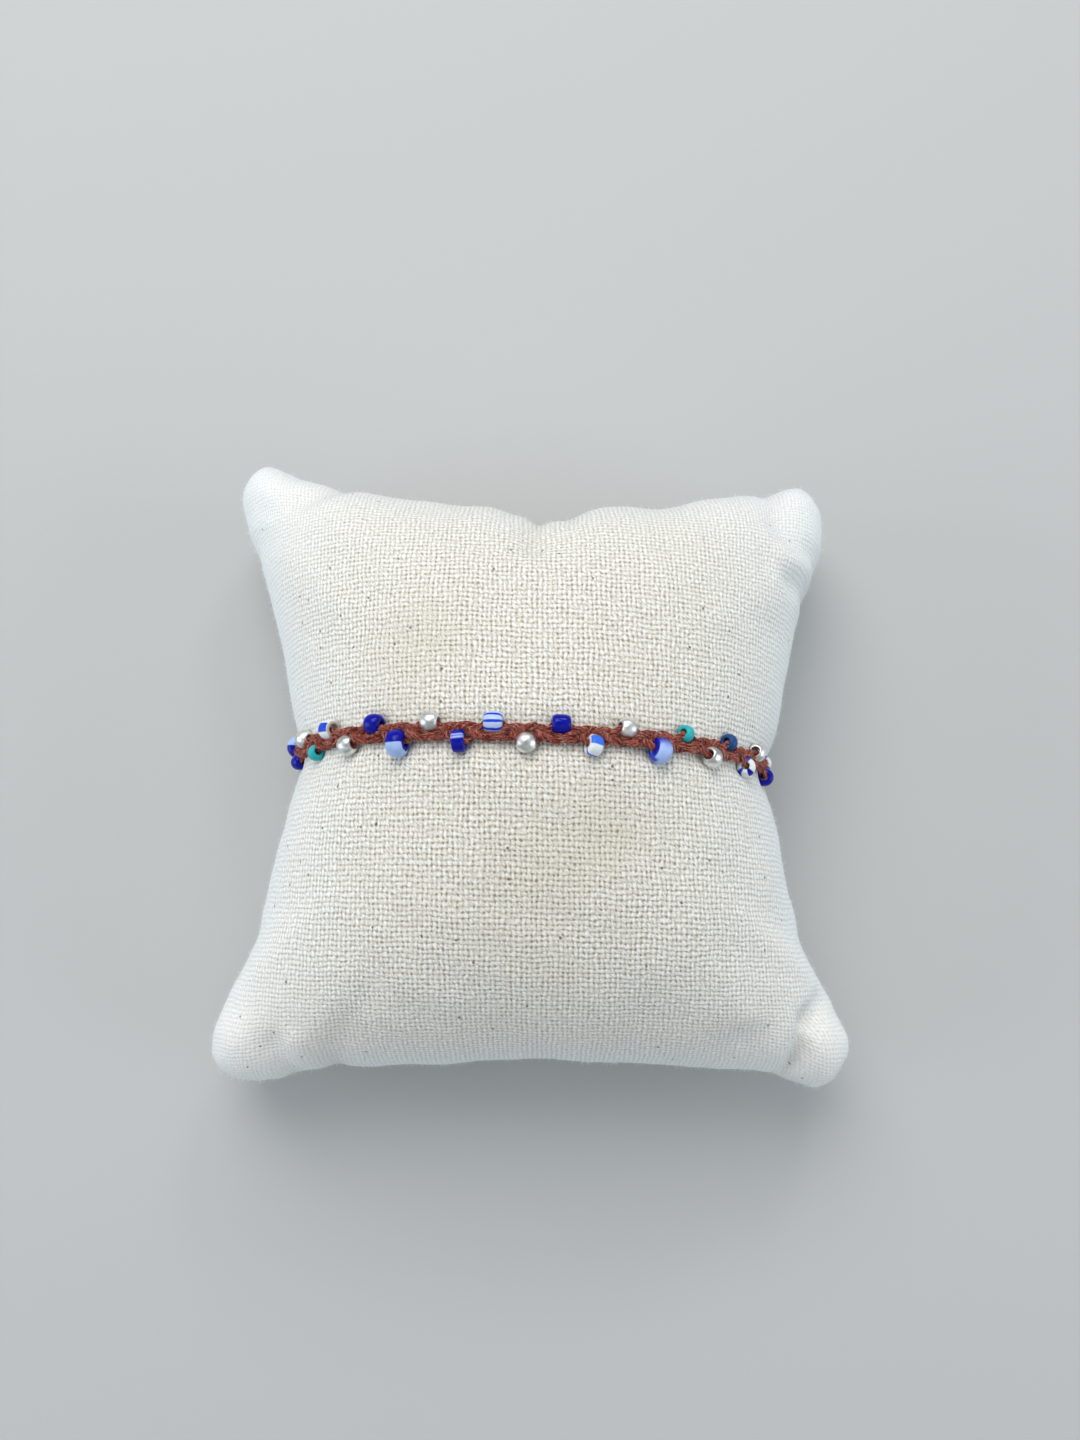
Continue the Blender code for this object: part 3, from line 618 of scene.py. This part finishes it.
def canvas_finish():
    """Unbleached canvas: the weave, with painted shade in its grooves and pinholes and painted
    highlights on its thread crowns, stains, dark seed flecks, and a pale bluish nap where the
    attribute "rubbed_and_sheen" is high, part worn nap and part painted sky sheen, so that the
    weave is paler and softer there."""
    made, tree, shader = finish_named("unbleached_canvas", 0.95, Sheen_Weight=0.6, Sheen_Roughness=0.35,
                                      Sheen_Tint=(0.84, 0.93, 1.0, 1.0), Specular_IOR_Level=0.15)
    rubbed_and_sheen = make(tree, "Attribute", attribute_name="rubbed_and_sheen").outputs["Fac"]
    moved = wandering_threads(tree)
    u, v, _ = split(moved)
    height, hole, knot_tone, thread_tone, warp_on_top = plain_weave(u, v, rubbed_and_sheen)
    lay = joined(times(sums("ADD", u, v), 2.6), sums("SUBTRACT", u, v))
    fibre = noise(lay, 1.0, 2.0, flat=True)[0]
    # Painted shade: the low parts of the weave, between the threads, are darker and the thread tops
    # lighter
    colour = tint(between(height, 0.35, 0.95), (0.52, 0.46, 0.36), (0.785, 0.755, 0.675))
    # Painted highlight on the crown of each warp float, brighter on some knots at random
    crown_highlight = times(warp_on_top, between(height, 0.70, 0.97))
    crown_highlight = times(crown_highlight, between(knot_tone, 0.0, 0.8, 0.30, 1.0))
    colour = tint(times(crown_highlight, 0.97), colour, (0.965, 0.96, 0.925))
    at = place_on(tree)
    cloud = noise(at, 38.0, 3.0)[0]
    # Random tone of knots and threads; slanted dashes along the twist, the pale ones a painted highlight
    # and the dark ones painted shade in the twist's grooves; then cloudy tone
    colour = shaded(colour, (knot_tone, 0.30, 0.0, 0.30, (0.58, 0.52, 0.42)),
                    (thread_tone, 0.50, 0.25, 0.25, (0.56, 0.48, 0.36)),
                    (fibre, 0.50, 0.63, 0.72, (0.975, 0.968, 0.935)),
                    (fibre, 0.47, 0.34, 0.50, (0.52, 0.465, 0.375)),
                    (cloud, 0.45, 0.75, 0.20, (0.74, 0.67, 0.55)))
    for spot, spread, strength in STAINS:
        reach = vectors("DISTANCE", at, spot)["Value"]
        reach = scaled(cloud, -0.016, sums("ADD", reach, 0.008))
        colour = shaded(colour, (reach, spread, 0.0, strength, (0.60, 0.53, 0.40)))
    # Painted shade in the pinholes between the threads
    colour = tint(hole, colour, (0.30, 0.225, 0.135))
    # Painted sheen: where the nap is worn the canvas turns a pale bluish white, part raised nap and part
    # painted cool sky light at grazing angles; it turns warmer towards the near edge, where the painted
    # sky light is weaker
    nap = scaled(height, 0.55, noise(moved, 1.5, 3.0, 0.6, flat=True)[0])
    nap_and_sheen = tint(between(nap, 0.62, 1.08), (0.79, 0.815, 0.82), (0.95, 0.96, 0.955))
    toward = split(at)[1]
    nap_and_sheen = shaded(nap_and_sheen, (toward, -0.028, -0.050, 0.85, (0.99, 0.965, 0.925)))
    colour = tint(times(rubbed_and_sheen, 0.79), colour, nap_and_sheen)
    speck = make(tree, "TexVoronoi", {"Vector": moved, "Scale": 0.30, "Randomness": 1.0},
                 voronoi_dimensions="2D").outputs
    pick = make(tree, "SeparateColor", {0: speck["Color"]}).outputs[0]
    fleck = times(between(speck["Distance"], 0.11, 0.05), sums("GREATER_THAN", pick, 0.935))
    colour = tint(times(fleck, 0.8), colour, (0.075, 0.04, 0.025))
    bumped = sums("SUBTRACT", scaled(fibre, 0.3, height), times(hole, 0.4))
    bumped = times(bumped, scaled(rubbed_and_sheen, -0.35, 1.0))
    plug(shader, {"Base Color": colour, "Normal": raised(bumped, 0.7, 0.00022)})
    return made


pillow_mesh = quad_mesh("canvas_cover", points, quads, threads, "threads")
pillow_mesh.attributes.new("rubbed_and_sheen", "FLOAT", "POINT").data.foreach_set("value", rubbed_and_sheen.astype(np.float32))
normals = np.empty(len(points) * 3, np.float32)
pillow_mesh.vertices.foreach_get("normal", normals)
normals = normals.reshape(-1, 3)
points = points + relief * normals
points[:, 2] = np.maximum(points[:, 2], 0.0)
pillow_mesh.vertices.foreach_set("co", ((points - MIDDLE) * MM).astype(np.float32).ravel())
pillow_mesh.update()
pillow_cover = show("pillow_cover", pillow_mesh, canvas_finish(), "canvas", "pillow")


# The lint: short loose fibres that stand out of the washed canvas, most of all where the edge and
# the ears are rubbed. Each is one closed three-sided sliver, bent over and drawn to a point.
LINT = 10400
CLEAR_OF_LOOP, CLEAR_OF_TABLE = 5.0, 3.0


def unit(v):
    """Vectors of length one."""
    return v / np.linalg.norm(v, axis=-1, keepdims=True)


def spokes(turns, right, over):
    """Directions round an axis, at the given turns from its right towards over."""
    return np.cos(turns)[:, None] * right[..., None, :] + np.sin(turns)[:, None] * over[..., None, :]


def hairs(roots, leaves, length, width, seed):
    """Slivers from their roots: the middle ring stands half a length out along the leaving
    direction, the tip goes on from there along that direction plus a random lean."""
    vary = np.random.default_rng(seed)
    tilt = unit(np.cross(leaves, vary.normal(size=leaves.shape)))
    other = np.cross(leaves, tilt)
    spoke = spokes(np.arange(3) * 2 * math.pi / 3, tilt, other)
    middle = roots + 0.5 * length[:, None] * leaves
    tips = middle + 0.5 * length[:, None] * (leaves + vary.uniform(-0.9, 0.9, (len(roots), 1)) * tilt)
    start = roots[:, None] - 0.04 * leaves[:, None] + 0.5 * width[:, None, None] * spoke
    bend = middle[:, None] + 0.4 * width[:, None, None] * spoke
    sliver = np.concatenate([start, bend, tips[:, None]], 1)
    shell = np.array([(0, 2, 1), (0, 1, 4), (0, 4, 3), (1, 2, 5), (1, 5, 4),
                      (2, 0, 3), (2, 3, 5), (3, 4, 6), (4, 5, 6), (5, 3, 6)])
    return sliver.reshape(-1, 3), (shell[None] + 7 * np.arange(len(roots))[:, None, None]).reshape(-1, 3)


def fibre_finish(name, roughness, scale, plain, other):
    """Single fibres that turn from one colour to another in patches."""
    made, tree, shader = finish_named(name, roughness)
    cloud = noise(place_on(tree), scale, 1.0)[0]
    plug(shader, {"Base Color": tint(between(cloud, 0.35, 0.65), plain, other)})
    return made


vary = np.random.default_rng(7)
corner = points[quads]
area = np.linalg.norm(np.cross(corner[:, 2] - corner[:, 0], corner[:, 3] - corner[:, 1]), axis=1) / 2
middles = corner.mean(1)
clear = np.abs(middles[:, 1] - line_y(middles[:, 0])) > CLEAR_OF_LOOP
sideways = 1 - np.abs(normals[quads[:, 0], 2])
wanted = area * (0.12 + 1.6 * rubbed_and_sheen[quads].mean(1)) * (0.3 + 2.2 * sideways ** 1.5)
wanted = wanted * clear * (middles[:, 2] > CLEAR_OF_TABLE)
chosen = vary.choice(len(quads), LINT, p=wanted / wanted.sum())
a, b = vary.uniform(0, 1, (2, LINT, 1))
first, second, third, fourth = np.moveaxis(corner[chosen], 1, 0)
roots = (1 - a) * ((1 - b) * first + b * fourth) + a * ((1 - b) * second + b * third)
leaves = normals[quads[chosen]].mean(1) * vary.uniform(0.25, 0.9, (LINT, 1))
leaves = leaves + 0.55 * vary.normal(size=(LINT, 3))
out = normals[quads[chosen, 0]]
leaves = unit(leaves + np.maximum(0.15 - (leaves * out).sum(1, keepdims=True), 0) * out)
lint_points, lint_faces = hairs(roots, leaves, vary.uniform(0.30, 0.95, LINT),
                                vary.uniform(0.028, 0.048, LINT), 8)
lint_points[:, 2] = np.maximum(lint_points[:, 2], 0.2)
cotton_lint = fibre_finish("cotton_lint", 0.8, 300.0, (0.96, 0.97, 0.965), (0.86, 0.84, 0.79))
show("canvas_lint", quad_mesh("canvas_lint", lint_points, lint_faces), cotton_lint, "canvas")


# The braid: three strands of waxed brown thread, each a bundle of fine two-ply yarns, plaited
# flat round the pillow. One strand also passes through every bead, so it swings wider.
YARNS, YARN_R, YARN_SIDES = 24, 0.080, 5
STRAND_WIDE, STRAND_HIGH = 0.55, 0.36
PLAIT_SIDE, PLAIT_HEIGHT, PLAIT_MAKE_WAY = 0.64, 0.36, 0.30
BEADED_REACH, BEADED_ROUNDER, BEADED_FLATTER = 1.33, 0.05, 0.8
TWIST_PITCH, PLY_PITCH = 4.2, 1.9
STRAND_RINGS = 810
# Half the clasp, how far the strands run into it, and how far before it they stop crossing
CLASP_HALF, STRAND_IN_CLASP, STRAND_STRAIGHT = 6.0, 2.0, 1.0


def place(s, side, height):
    """Points beside the loop line, with its tangent, sideways and outward directions there."""
    s = np.mod(s, LOOP)
    x, z = np.interp(s, LOOP_S, LOOP_X), np.interp(s, LOOP_S, LOOP_Z)
    nx, nz = np.interp(s, LOOP_S, LOOP_N[:, 0]), np.interp(s, LOOP_S, LOOP_N[:, 1])
    normal = unit(np.stack([nx, np.zeros_like(nx), nz], -1))
    tangent = unit(np.stack([normal[..., 2], LINE_SLOPE * normal[..., 2], -normal[..., 0]], -1))
    beside = np.cross(normal, tangent)
    centre = np.stack([x, line_y(x), z], -1)
    return centre + side[..., None] * beside + height[..., None] * normal, tangent, beside, normal


def strand_line(s, turn):
    """Side and height of one strand of the plait: A c |c|^-0.25 with c = cos(t + 120 deg * turn),
    and -B sin 2(t + 120 deg * turn), moved aside where a bead needs its room. Turn 0 carries the
    beads: its side is C cos t + D (cos t - cos 3t)."""
    theta = 2 * math.pi * (s - FIRST_BEAD) / PITCH
    phase = theta + turn * 2 * math.pi / 3
    side = PLAIT_SIDE * np.cos(phase) / (np.abs(np.cos(phase)) + 0.02) ** 0.25
    height = -PLAIT_HEIGHT * np.sin(2 * phase)
    if turn == 0:
        side = BEADED_REACH * np.cos(theta) + BEADED_ROUNDER * (np.cos(theta) - np.cos(3 * theta))
        height = height * BEADED_FLATTER
    else:
        side = side - PLAIT_MAKE_WAY * np.cos(theta)
    return side, height


def tube(rings, sides, closed=False):
    """Quads of a tube whose points come ring by ring, and the ring and side number of each of
    their corners; a closed one joins its last ring to its first."""
    i, j = np.meshgrid(np.arange(rings if closed else rings - 1), np.arange(sides), indexing="ij")
    ring, side = np.stack([i, i, i + 1, i + 1], -1), np.stack([j, j + 1, j + 1, j], -1)
    return (ring % rings * sides + side % sides).reshape(-1, 4), ring.reshape(-1, 4), side.reshape(-1, 4)


def yarn_strand(name, turn, material, stands_for):
    """Yarns laid over an oval, outer ones round its rim and the rest inside, twisting as it goes
    along the strand's line. Each is a tube whose radius and place waver; its UV map is (round the
    yarn 0 to 1, millimetres along it plus 100 for each yarn)."""
    reach = LOOP / 2 - CLASP_HALF
    s = np.linspace(-reach - STRAND_IN_CLASP, reach + STRAND_IN_CLASP, STRAND_RINGS)
    side, height = strand_line(np.clip(s, -reach + STRAND_STRAIGHT, reach - STRAND_STRAIGHT), turn)
    line, _, _, normal = place(s, side, height)
    tangent = unit(np.gradient(line, axis=0))
    aside = unit(np.cross(normal, tangent))
    up = np.cross(tangent, aside)
    along = np.concatenate([[0.0], np.cumsum(np.linalg.norm(np.diff(line, axis=0), axis=1))])
    vary = np.random.default_rng(40 + turn)
    round_yarn = np.arange(YARN_SIDES) * 2 * math.pi / YARN_SIDES
    quads, ring, corner = tube(STRAND_RINGS, YARN_SIDES)
    all_points, all_quads, all_uv = [], [], []
    for yarn in range(YARNS):
        shift = vary.uniform(0, 2 * math.pi, 7)
        inside = 0.45 if yarn % 4 == 3 else 1.0
        pitch = TWIST_PITCH * vary.uniform(0.85, 1.2) * (1 if turn != 1 else -1)
        angle = (2 * math.pi * yarn / YARNS + along * 2 * math.pi / pitch
                 + 0.45 * np.sin(along / 2.3 + shift[0]) + 0.30 * np.sin(along / 0.8 + shift[1]))
        swell = 1 + 0.12 * np.sin(along / 1.7 + shift[2]) + 0.10 * np.sin(along / 0.45 + shift[3])
        sway = 1 + 0.14 * np.sin(along / 3.1 + shift[4]) + 0.08 * np.sin(along / 0.7 + shift[6])
        wide_by = (STRAND_WIDE - YARN_R) * inside * sway
        high_by = (STRAND_HIGH - YARN_R) * inside * (1 + 0.15 * np.sin(along / 2.6 + shift[5]))
        core = line + (wide_by * np.cos(angle))[:, None] * aside + (high_by * np.sin(angle))[:, None] * up
        step = unit(np.gradient(core, axis=0))
        right = unit(np.cross(normal, step))
        spoke = spokes(round_yarn, right, np.cross(step, right))
        all_points.append((core[:, None] + (YARN_R * swell)[:, None, None] * spoke).reshape(-1, 3))
        all_quads.append(quads + yarn * STRAND_RINGS * YARN_SIDES)
        run = along + 100.0 * yarn
        all_uv.append(np.stack([corner / YARN_SIDES, run[ring]], -1).reshape(-1, 2))
    all_points, all_quads, all_uv = (np.concatenate(part) for part in (all_points, all_quads, all_uv))
    show(name, quad_mesh(name, all_points, all_quads, all_uv, "lay"), material, "waxed_thread", stands_for)


def thread_finish():
    """Red-brown waxed thread: two plies wind round each other, with painted shade in the grooves
    between them, so dark lines slant across each yarn, and single fibres are streaked with painted
    highlights and painted shade."""
    made, tree, shader = finish_named("waxed_brown_thread", 0.26, Sheen_Weight=0.03, Sheen_Roughness=0.4,
                                      Sheen_Tint=(1.0, 0.80, 0.74, 1.0), Specular_IOR_Level=0.28)
    around, along, _ = split(make(tree, "UVMap", uv_map="lay").outputs[0])
    wound = times(scaled(along, -1 / PLY_PITCH, around), 2 * math.pi)
    ply = sums("ABSOLUTE", sums("SINE", wound))
    lay = joined(times(sums("COSINE", wound), 2.2),
                 times(sums("SINE", wound), 2.2), times(along, 1.15))
    streak = noise(lay, 1.0, 3.0, 0.65)[0]
    patch = noise(joined(times(along, 1.1), 0.0), 1.0, 1.5, flat=True)[0]
    dark, light = (0.066, 0.004, 0.002), (0.60, 0.034, 0.011)
    # Painted shade in the ply grooves, random patches of tone along the thread, then streaks: very dark
    # ones painted shade between fibres, pale pink ones painted highlights
    colour = shaded(tint(between(ply, 0.05, 0.55, 0.35, 1.0), dark, light),
                    (patch, 0.50, 0.66, 0.60, (0.78, 0.13, 0.055)),
                    (patch, 0.48, 0.33, 0.85, (0.10, 0.010, 0.006)),
                    (streak, 0.515, 0.435, 0.95, (0.030, 0.003, 0.002)),
                    (streak, 0.55, 0.59, 1.0, (1.0, 0.62, 0.48)))
    bumped = sums("ADD", times(ply, 0.4), times(streak, 1.6))
    plug(shader, {"Base Color": colour, "Normal": raised(bumped, 1.0, 0.00010)})
    return made


waxed = thread_finish()
yarn_strand("braid_beaded_strand", 0, waxed, "strand_beaded")
yarn_strand("braid_second_strand", 1, waxed, "strand_second")
yarn_strand("braid_third_strand", 2, waxed, "strand_third")

# Loose fibres of the worn thread, standing out of the braid's upper half
STRAY, STRAY_REACH = 1900, 58
s = vary.uniform(-STRAY_REACH, STRAY_REACH, STRAY)
turns = vary.integers(1, 3, STRAY)
side, height = np.where(turns == 1, strand_line(s, 1), strand_line(s, 2))
line, tangent, aside, up = place(s, side, height)
angle = vary.uniform(-0.5, math.pi + 0.5, (STRAY, 1))
rim = STRAND_WIDE * np.cos(angle) * aside + STRAND_HIGH * np.sin(angle) * up
leaves = unit(unit(rim) * vary.uniform(0.3, 0.9, (STRAY, 1)) + tangent * vary.uniform(-1, 1, (STRAY, 1)))
stray_points, stray_faces = hairs(line + rim, leaves, vary.uniform(0.25, 0.9, STRAY),
                                  vary.uniform(0.022, 0.036, STRAY), 9)
# These fibres run from red-brown to a pale pink, the pink a painted highlight
stray_paint = fibre_finish("stray_fibres", 0.35, 900.0, (0.42, 0.09, 0.05), (0.85, 0.42, 0.32))
show("stray_fibres", quad_mesh("stray_fibres", stray_points, stray_faces), stray_paint, "waxed_thread")


# The glass beads: short cuts of drawn glass cane, tumbled round, with their colours cased or
# striped along the hole. Each is threaded on the beaded strand where it swings to an edge.
BEAD_SIDES, BEAD_RINGS, BORE_RINGS = 56, 25, 5
CAST_WOBBLE = 0.006


def bead_mesh(name, seat, hole, squareness, lean, yaw, wobble, seed):
    """A closed ring: an outer line |x/h|^p + |(r-b)/(R-b)|^p = 1 from lip to lip and a straight
    bore back, turned about the strand. UV is (turn / 360 deg from outward, place on the line)."""
    s, side, height, diameter, length = seat
    centre, tangent, _, normal = place(np.array(s), np.array(side), np.array(height))
    lean, yaw = math.radians(lean), math.radians(yaw)
    axis = unit(math.cos(lean) * tangent + math.sin(lean) * normal)
    up = unit(normal - (normal @ axis) * axis)
    third = np.cross(up, axis)
    axis, third = (math.cos(yaw) * axis - math.sin(yaw) * third,
                   math.cos(yaw) * third + math.sin(yaw) * axis)
    half, outer = length / 2, diameter / 2
    t = np.linspace(0, math.pi, BEAD_RINGS)
    x = -half * np.sign(np.cos(t)) * np.abs(np.cos(t)) ** (2 / squareness)
    r = hole + (outer - hole) * np.abs(np.sin(t)) ** (2 / squareness)
    bore_x = np.linspace(half, -half, BORE_RINGS + 2)[1:-1]
    bore_r = hole * (1 - 0.06 * (1 - (bore_x / half) ** 2))
    x, r = np.concatenate([x, bore_x])[:, None], np.concatenate([r, bore_r])[:, None]
    angle = np.linspace(-math.pi, math.pi, BEAD_SIDES + 1)
    if wobble:
        w = np.random.default_rng(seed).uniform(0, 6.28, 6)
        beat = (np.sin(5 * angle[:-1] + w[0] + 2.0 * x) + np.sin(3 * angle[:-1] - 1.6 * x + w[1])
                + 0.6 * np.sin(8 * angle[:-1] + w[2] + 3.1 * x))
        beat[BEAD_RINGS:] = 0.0
        r = r * (1 + wobble * beat)
    points = centre + x[..., None] * axis + r[..., None] * spokes(angle[:-1], up, third)
    quads, ring, corner = tube(BEAD_RINGS + BORE_RINGS, BEAD_SIDES, closed=True)
    on_line = np.concatenate([np.linspace(0, 1, BEAD_RINGS), 1 + np.linspace(0, 1, BORE_RINGS + 2)[1:]])
    uv = np.stack([angle[corner] / (2 * math.pi), on_line[ring]], -1)
    return quad_mesh(name, points, quads[:, ::-1], uv[:, ::-1], "bands")


def glass_finish(name, slot, ground, marks=(), roughness=0.07, soft=0.0, shade=0.25):
    """Opaque glass and its slot. A mark is (from turn, to turn, from place, to place, colour, blur):
    turns in degrees from the outward side towards the far edge, places 0 to 1 from lip to lip."""
    made, tree, shader = finish_named(name, roughness, IOR=1.50, Specular_IOR_Level=0.12, Coat_Weight=0.12,
                                      Coat_Roughness=0.03, Subsurface_Weight=soft,
                                      Subsurface_Radius=(0.0006, 0.0007, 0.0009))
    swirl = noise(place_on(tree), 900.0, 2.0)[0]
    u, v, _ = split(make(tree, "UVMap", uv_map="bands").outputs[0])
    turn = scaled(swirl, 0.022, sums("SUBTRACT", u, 0.011))
    along = scaled(swirl, 0.08, sums("SUBTRACT", v, 0.04))
    colour = shaded(ground, (swirl, 0.35, 0.65, shade, tuple(0.55 * c for c in ground)))
    for low, high, start, end, paint, blur in marks:
        sides = times(between(turn, low / 360 - blur, low / 360 + blur),
                      between(turn, high / 360 + blur, high / 360 - blur))
        ends = times(between(along, start - blur * 2, start + blur * 2),
                     between(along, end + blur * 2, end - blur * 2))
        colour = tint(times(sides, ends), colour, paint)
    plug(shader, {"Base Color": colour, "Normal": raised(swirl, 0.25, 0.00005)})
    return made, slot


COBALT, MARK_BLUE, ICE = (0.004, 0.007, 0.30), (0.012, 0.055, 0.58), (0.40, 0.54, 0.88)
WHITE, TURQUOISE, STEEL = (0.80, 0.83, 0.83), (0.030, 0.45, 0.48), (0.020, 0.070, 0.22)
cobalt = glass_finish("cobalt_cane", "cobalt_glass", COBALT)
turquoise = glass_finish("turquoise_cane", "turquoise_glass", TURQUOISE, roughness=0.20, soft=0.1)
steel_blue = glass_finish("steel_blue_cane", "steel_blue_glass", STEEL, roughness=0.35)
half_and_half = glass_finish("half_cobalt_half_ice", "ice_blue_glass", ICE, [
    (-4, 200, -0.2, 1.2, COBALT, 0.008), (-200, 200, 0.90, 2.2, COBALT, 0.01)], soft=0.1)
half_left = glass_finish("half_ice_half_cobalt", "ice_blue_glass", ICE, [
    (-200, 4, -0.2, 1.2, COBALT, 0.008)], soft=0.1)
patched = glass_finish("white_with_blue_patch", "white_glass", WHITE, [
    (-22, 36, -0.2, 0.80, MARK_BLUE, 0.008),
    # painted shade: the tan ring over one end and into the bore stands for that end face in shade
    (-200, 200, 0.84, 1.3, (0.56, 0.50, 0.43), 0.02)], soft=0.1, shade=0.12)
three_lines = glass_finish("pale_with_three_lines", "white_glass", (0.50, 0.61, 0.86), [
    (31, 48, 0.05, 0.95, MARK_BLUE, 0.006), (-13, 3, 0.05, 0.95, MARK_BLUE, 0.006),
    (-64, -45, 0.05, 0.95, MARK_BLUE, 0.006)], soft=0.1, shade=0.12)
# A pale bluish band with a darker line inside runs along this bead near its outward side
pale_band = glass_finish("cobalt_with_pale_band", "cobalt_glass", COBALT, [
    (6, 32, 0.0, 1.0, (0.30, 0.40, 0.82), 0.012), (17, 23, 0.1, 0.9, (0.06, 0.10, 0.50), 0.010)])
blue_band = glass_finish("white_with_blue_band", "white_glass", WHITE, [
    (-2, 60, 0.10, 1.0, (0.045, 0.17, 0.76), 0.010),
    (-90, -72, 0.0, 1.0, (0.03, 0.10, 0.60), 0.010)], soft=0.1, shade=0.12)
faded = glass_finish("ice_fading_to_cobalt", "ice_blue_glass", ICE, [
    (26, 170, -0.2, 0.75, (0.02, 0.04, 0.46), 0.09), (-200, 200, -0.2, 0.22, COBALT, 0.015),
    (-120, -66, -0.2, 0.40, (0.03, 0.06, 0.50), 0.03)], soft=0.1)
marked = glass_finish("white_with_blue_marks", "white_glass", WHITE, [
    (55, 100, -0.2, 0.7, MARK_BLUE, 0.010), (-75, -40, -0.2, 0.7, COBALT, 0.010),
    (-150, -120, -0.2, 0.9, MARK_BLUE, 0.010)], soft=0.1, shade=0.12)


def silver_finish():
    """Cast silver, tumbled to a satin: fine scratches, shallow dimples, and darker patches painted on as
    reflections of dark surroundings.
    """
    made, tree, shader = finish_named("satin_silver", 0.30, Metallic=1.0)
    at = place_on(tree)
    dimple, grain = noise(at, 620.0, 2.5)[0], noise(at, 9000.0, 3.0)[0]
    # Painted reflection: darker patches on the dimples' rises stand in for dark surroundings seen in the
    # metal
    colour = shaded((0.90, 0.90, 0.87), (dimple, 0.42, 0.60, 0.8, (0.50, 0.50, 0.47)))
    tilt = raised(grain, 0.25, 0.00001, Normal=raised(dimple, 0.34, 0.00022))
    plug(shader, {"Base Color": colour, "Roughness": between(grain, 0.3, 0.7, 0.31, 0.45), "Normal": tilt})
    return made, "silver"


silver = silver_finish()
# Finish, bore radius, squareness, lean and yaw of each bead, far edge then near edge
FAR = [
    (cobalt, 0.55, 2.4, 0, 0), (half_left, 0.75, 2.5, -10, 0),
    (silver, 0.72, 1.85, -22, 4), (patched, 0.82, 3.4, -2, 4),
    (cobalt, 0.60, 2.3, -3, 4), (silver, 0.75, 1.85, 2, 3),
    (three_lines, 0.62, 2.9, 0, 0), (cobalt, 0.62, 3.0, -3, 0),
    (silver, 0.72, 1.85, -15, 0), (turquoise, 0.57, 2.4, -23, 6),
    (steel_blue, 0.55, 2.4, -4, 6), (silver, 0.75, 1.85, -10, 4),
    (marked, 0.55, 2.5, 0, 0), (cobalt, 0.55, 2.4, 0, 0),
]
NEAR = [
    (silver, 0.60, 1.85, 0, 0), (cobalt, 0.58, 2.4, -22, 0),
    (turquoise, 0.57, 2.4, 2, -8), (silver, 0.75, 1.85, -4, -6),
    (half_and_half, 0.75, 2.6, -5, -4), (pale_band, 0.62, 5.0, -1, -6),
    (silver, 0.60, 1.75, 0, 0), (blue_band, 0.62, 3.4, -16, 10),
    (faded, 0.72, 2.3, -4, 12), (silver, 0.80, 1.85, -20, 10),
    (marked, 0.62, 2.5, -20, 4), (cobalt, 0.62, 2.3, -6, 0),
    (silver, 0.60, 1.85, 0, 0),
]
for edge, rows, first in (("far", FAR, 0), ("near", NEAR, len(FAR))):
    for number, (finish, *form) in enumerate(rows, 1):
        name = f"{edge}_edge_bead_{number:02d}"
        mesh = bead_mesh(name, BEAD_SEATS[first + number - 1], *form,
                         CAST_WOBBLE if finish is silver else 0.0, number + 20 * first)
        show(name, mesh, *finish, f"bead_{edge}_{number:02d}")


# The clasp: a plain silver barrel out of sight under the pillow, its ends drilled so that the
# three strands are glued into each socket.
CLASP_R, CLASP_ROUND, CLASP_SIDES = 2.05, 0.35, 48
SOCKET_R, SOCKET_END, SOCKET_LIP = 1.5, 2.0, 5.9
clasp_centre, clasp_axis, _, clasp_up = place(np.array(LOOP / 2), np.array(0.0), np.array(0.0))
t = np.linspace(0, math.pi / 2, 6)
round_over = CLASP_ROUND * np.stack([1 - np.cos(t), 1 - np.sin(t)], -1)
left = [(-SOCKET_END, 0.0), (-SOCKET_END, SOCKET_R), (-SOCKET_LIP, SOCKET_R)]
left += [(-CLASP_HALF + inwards, CLASP_R - down) for inwards, down in round_over]
left += [(-1.1, CLASP_R), (-0.9, 1.98), (-0.7, 1.96)]
barrel = np.array(left + [(-x, r) for x, r in left[::-1]])
ring = spokes(np.arange(CLASP_SIDES) * 2 * math.pi / CLASP_SIDES, clasp_up, np.cross(clasp_axis, clasp_up))
barrel_points = clasp_centre + barrel[:, 0, None, None] * clasp_axis + barrel[:, 1, None, None] * ring
clasp_mesh = quad_mesh("silver_clasp", barrel_points, tube(len(barrel), CLASP_SIDES)[0])
show("silver_clasp", clasp_mesh, *silver, "clasp")

bpy.context.view_layer.update()
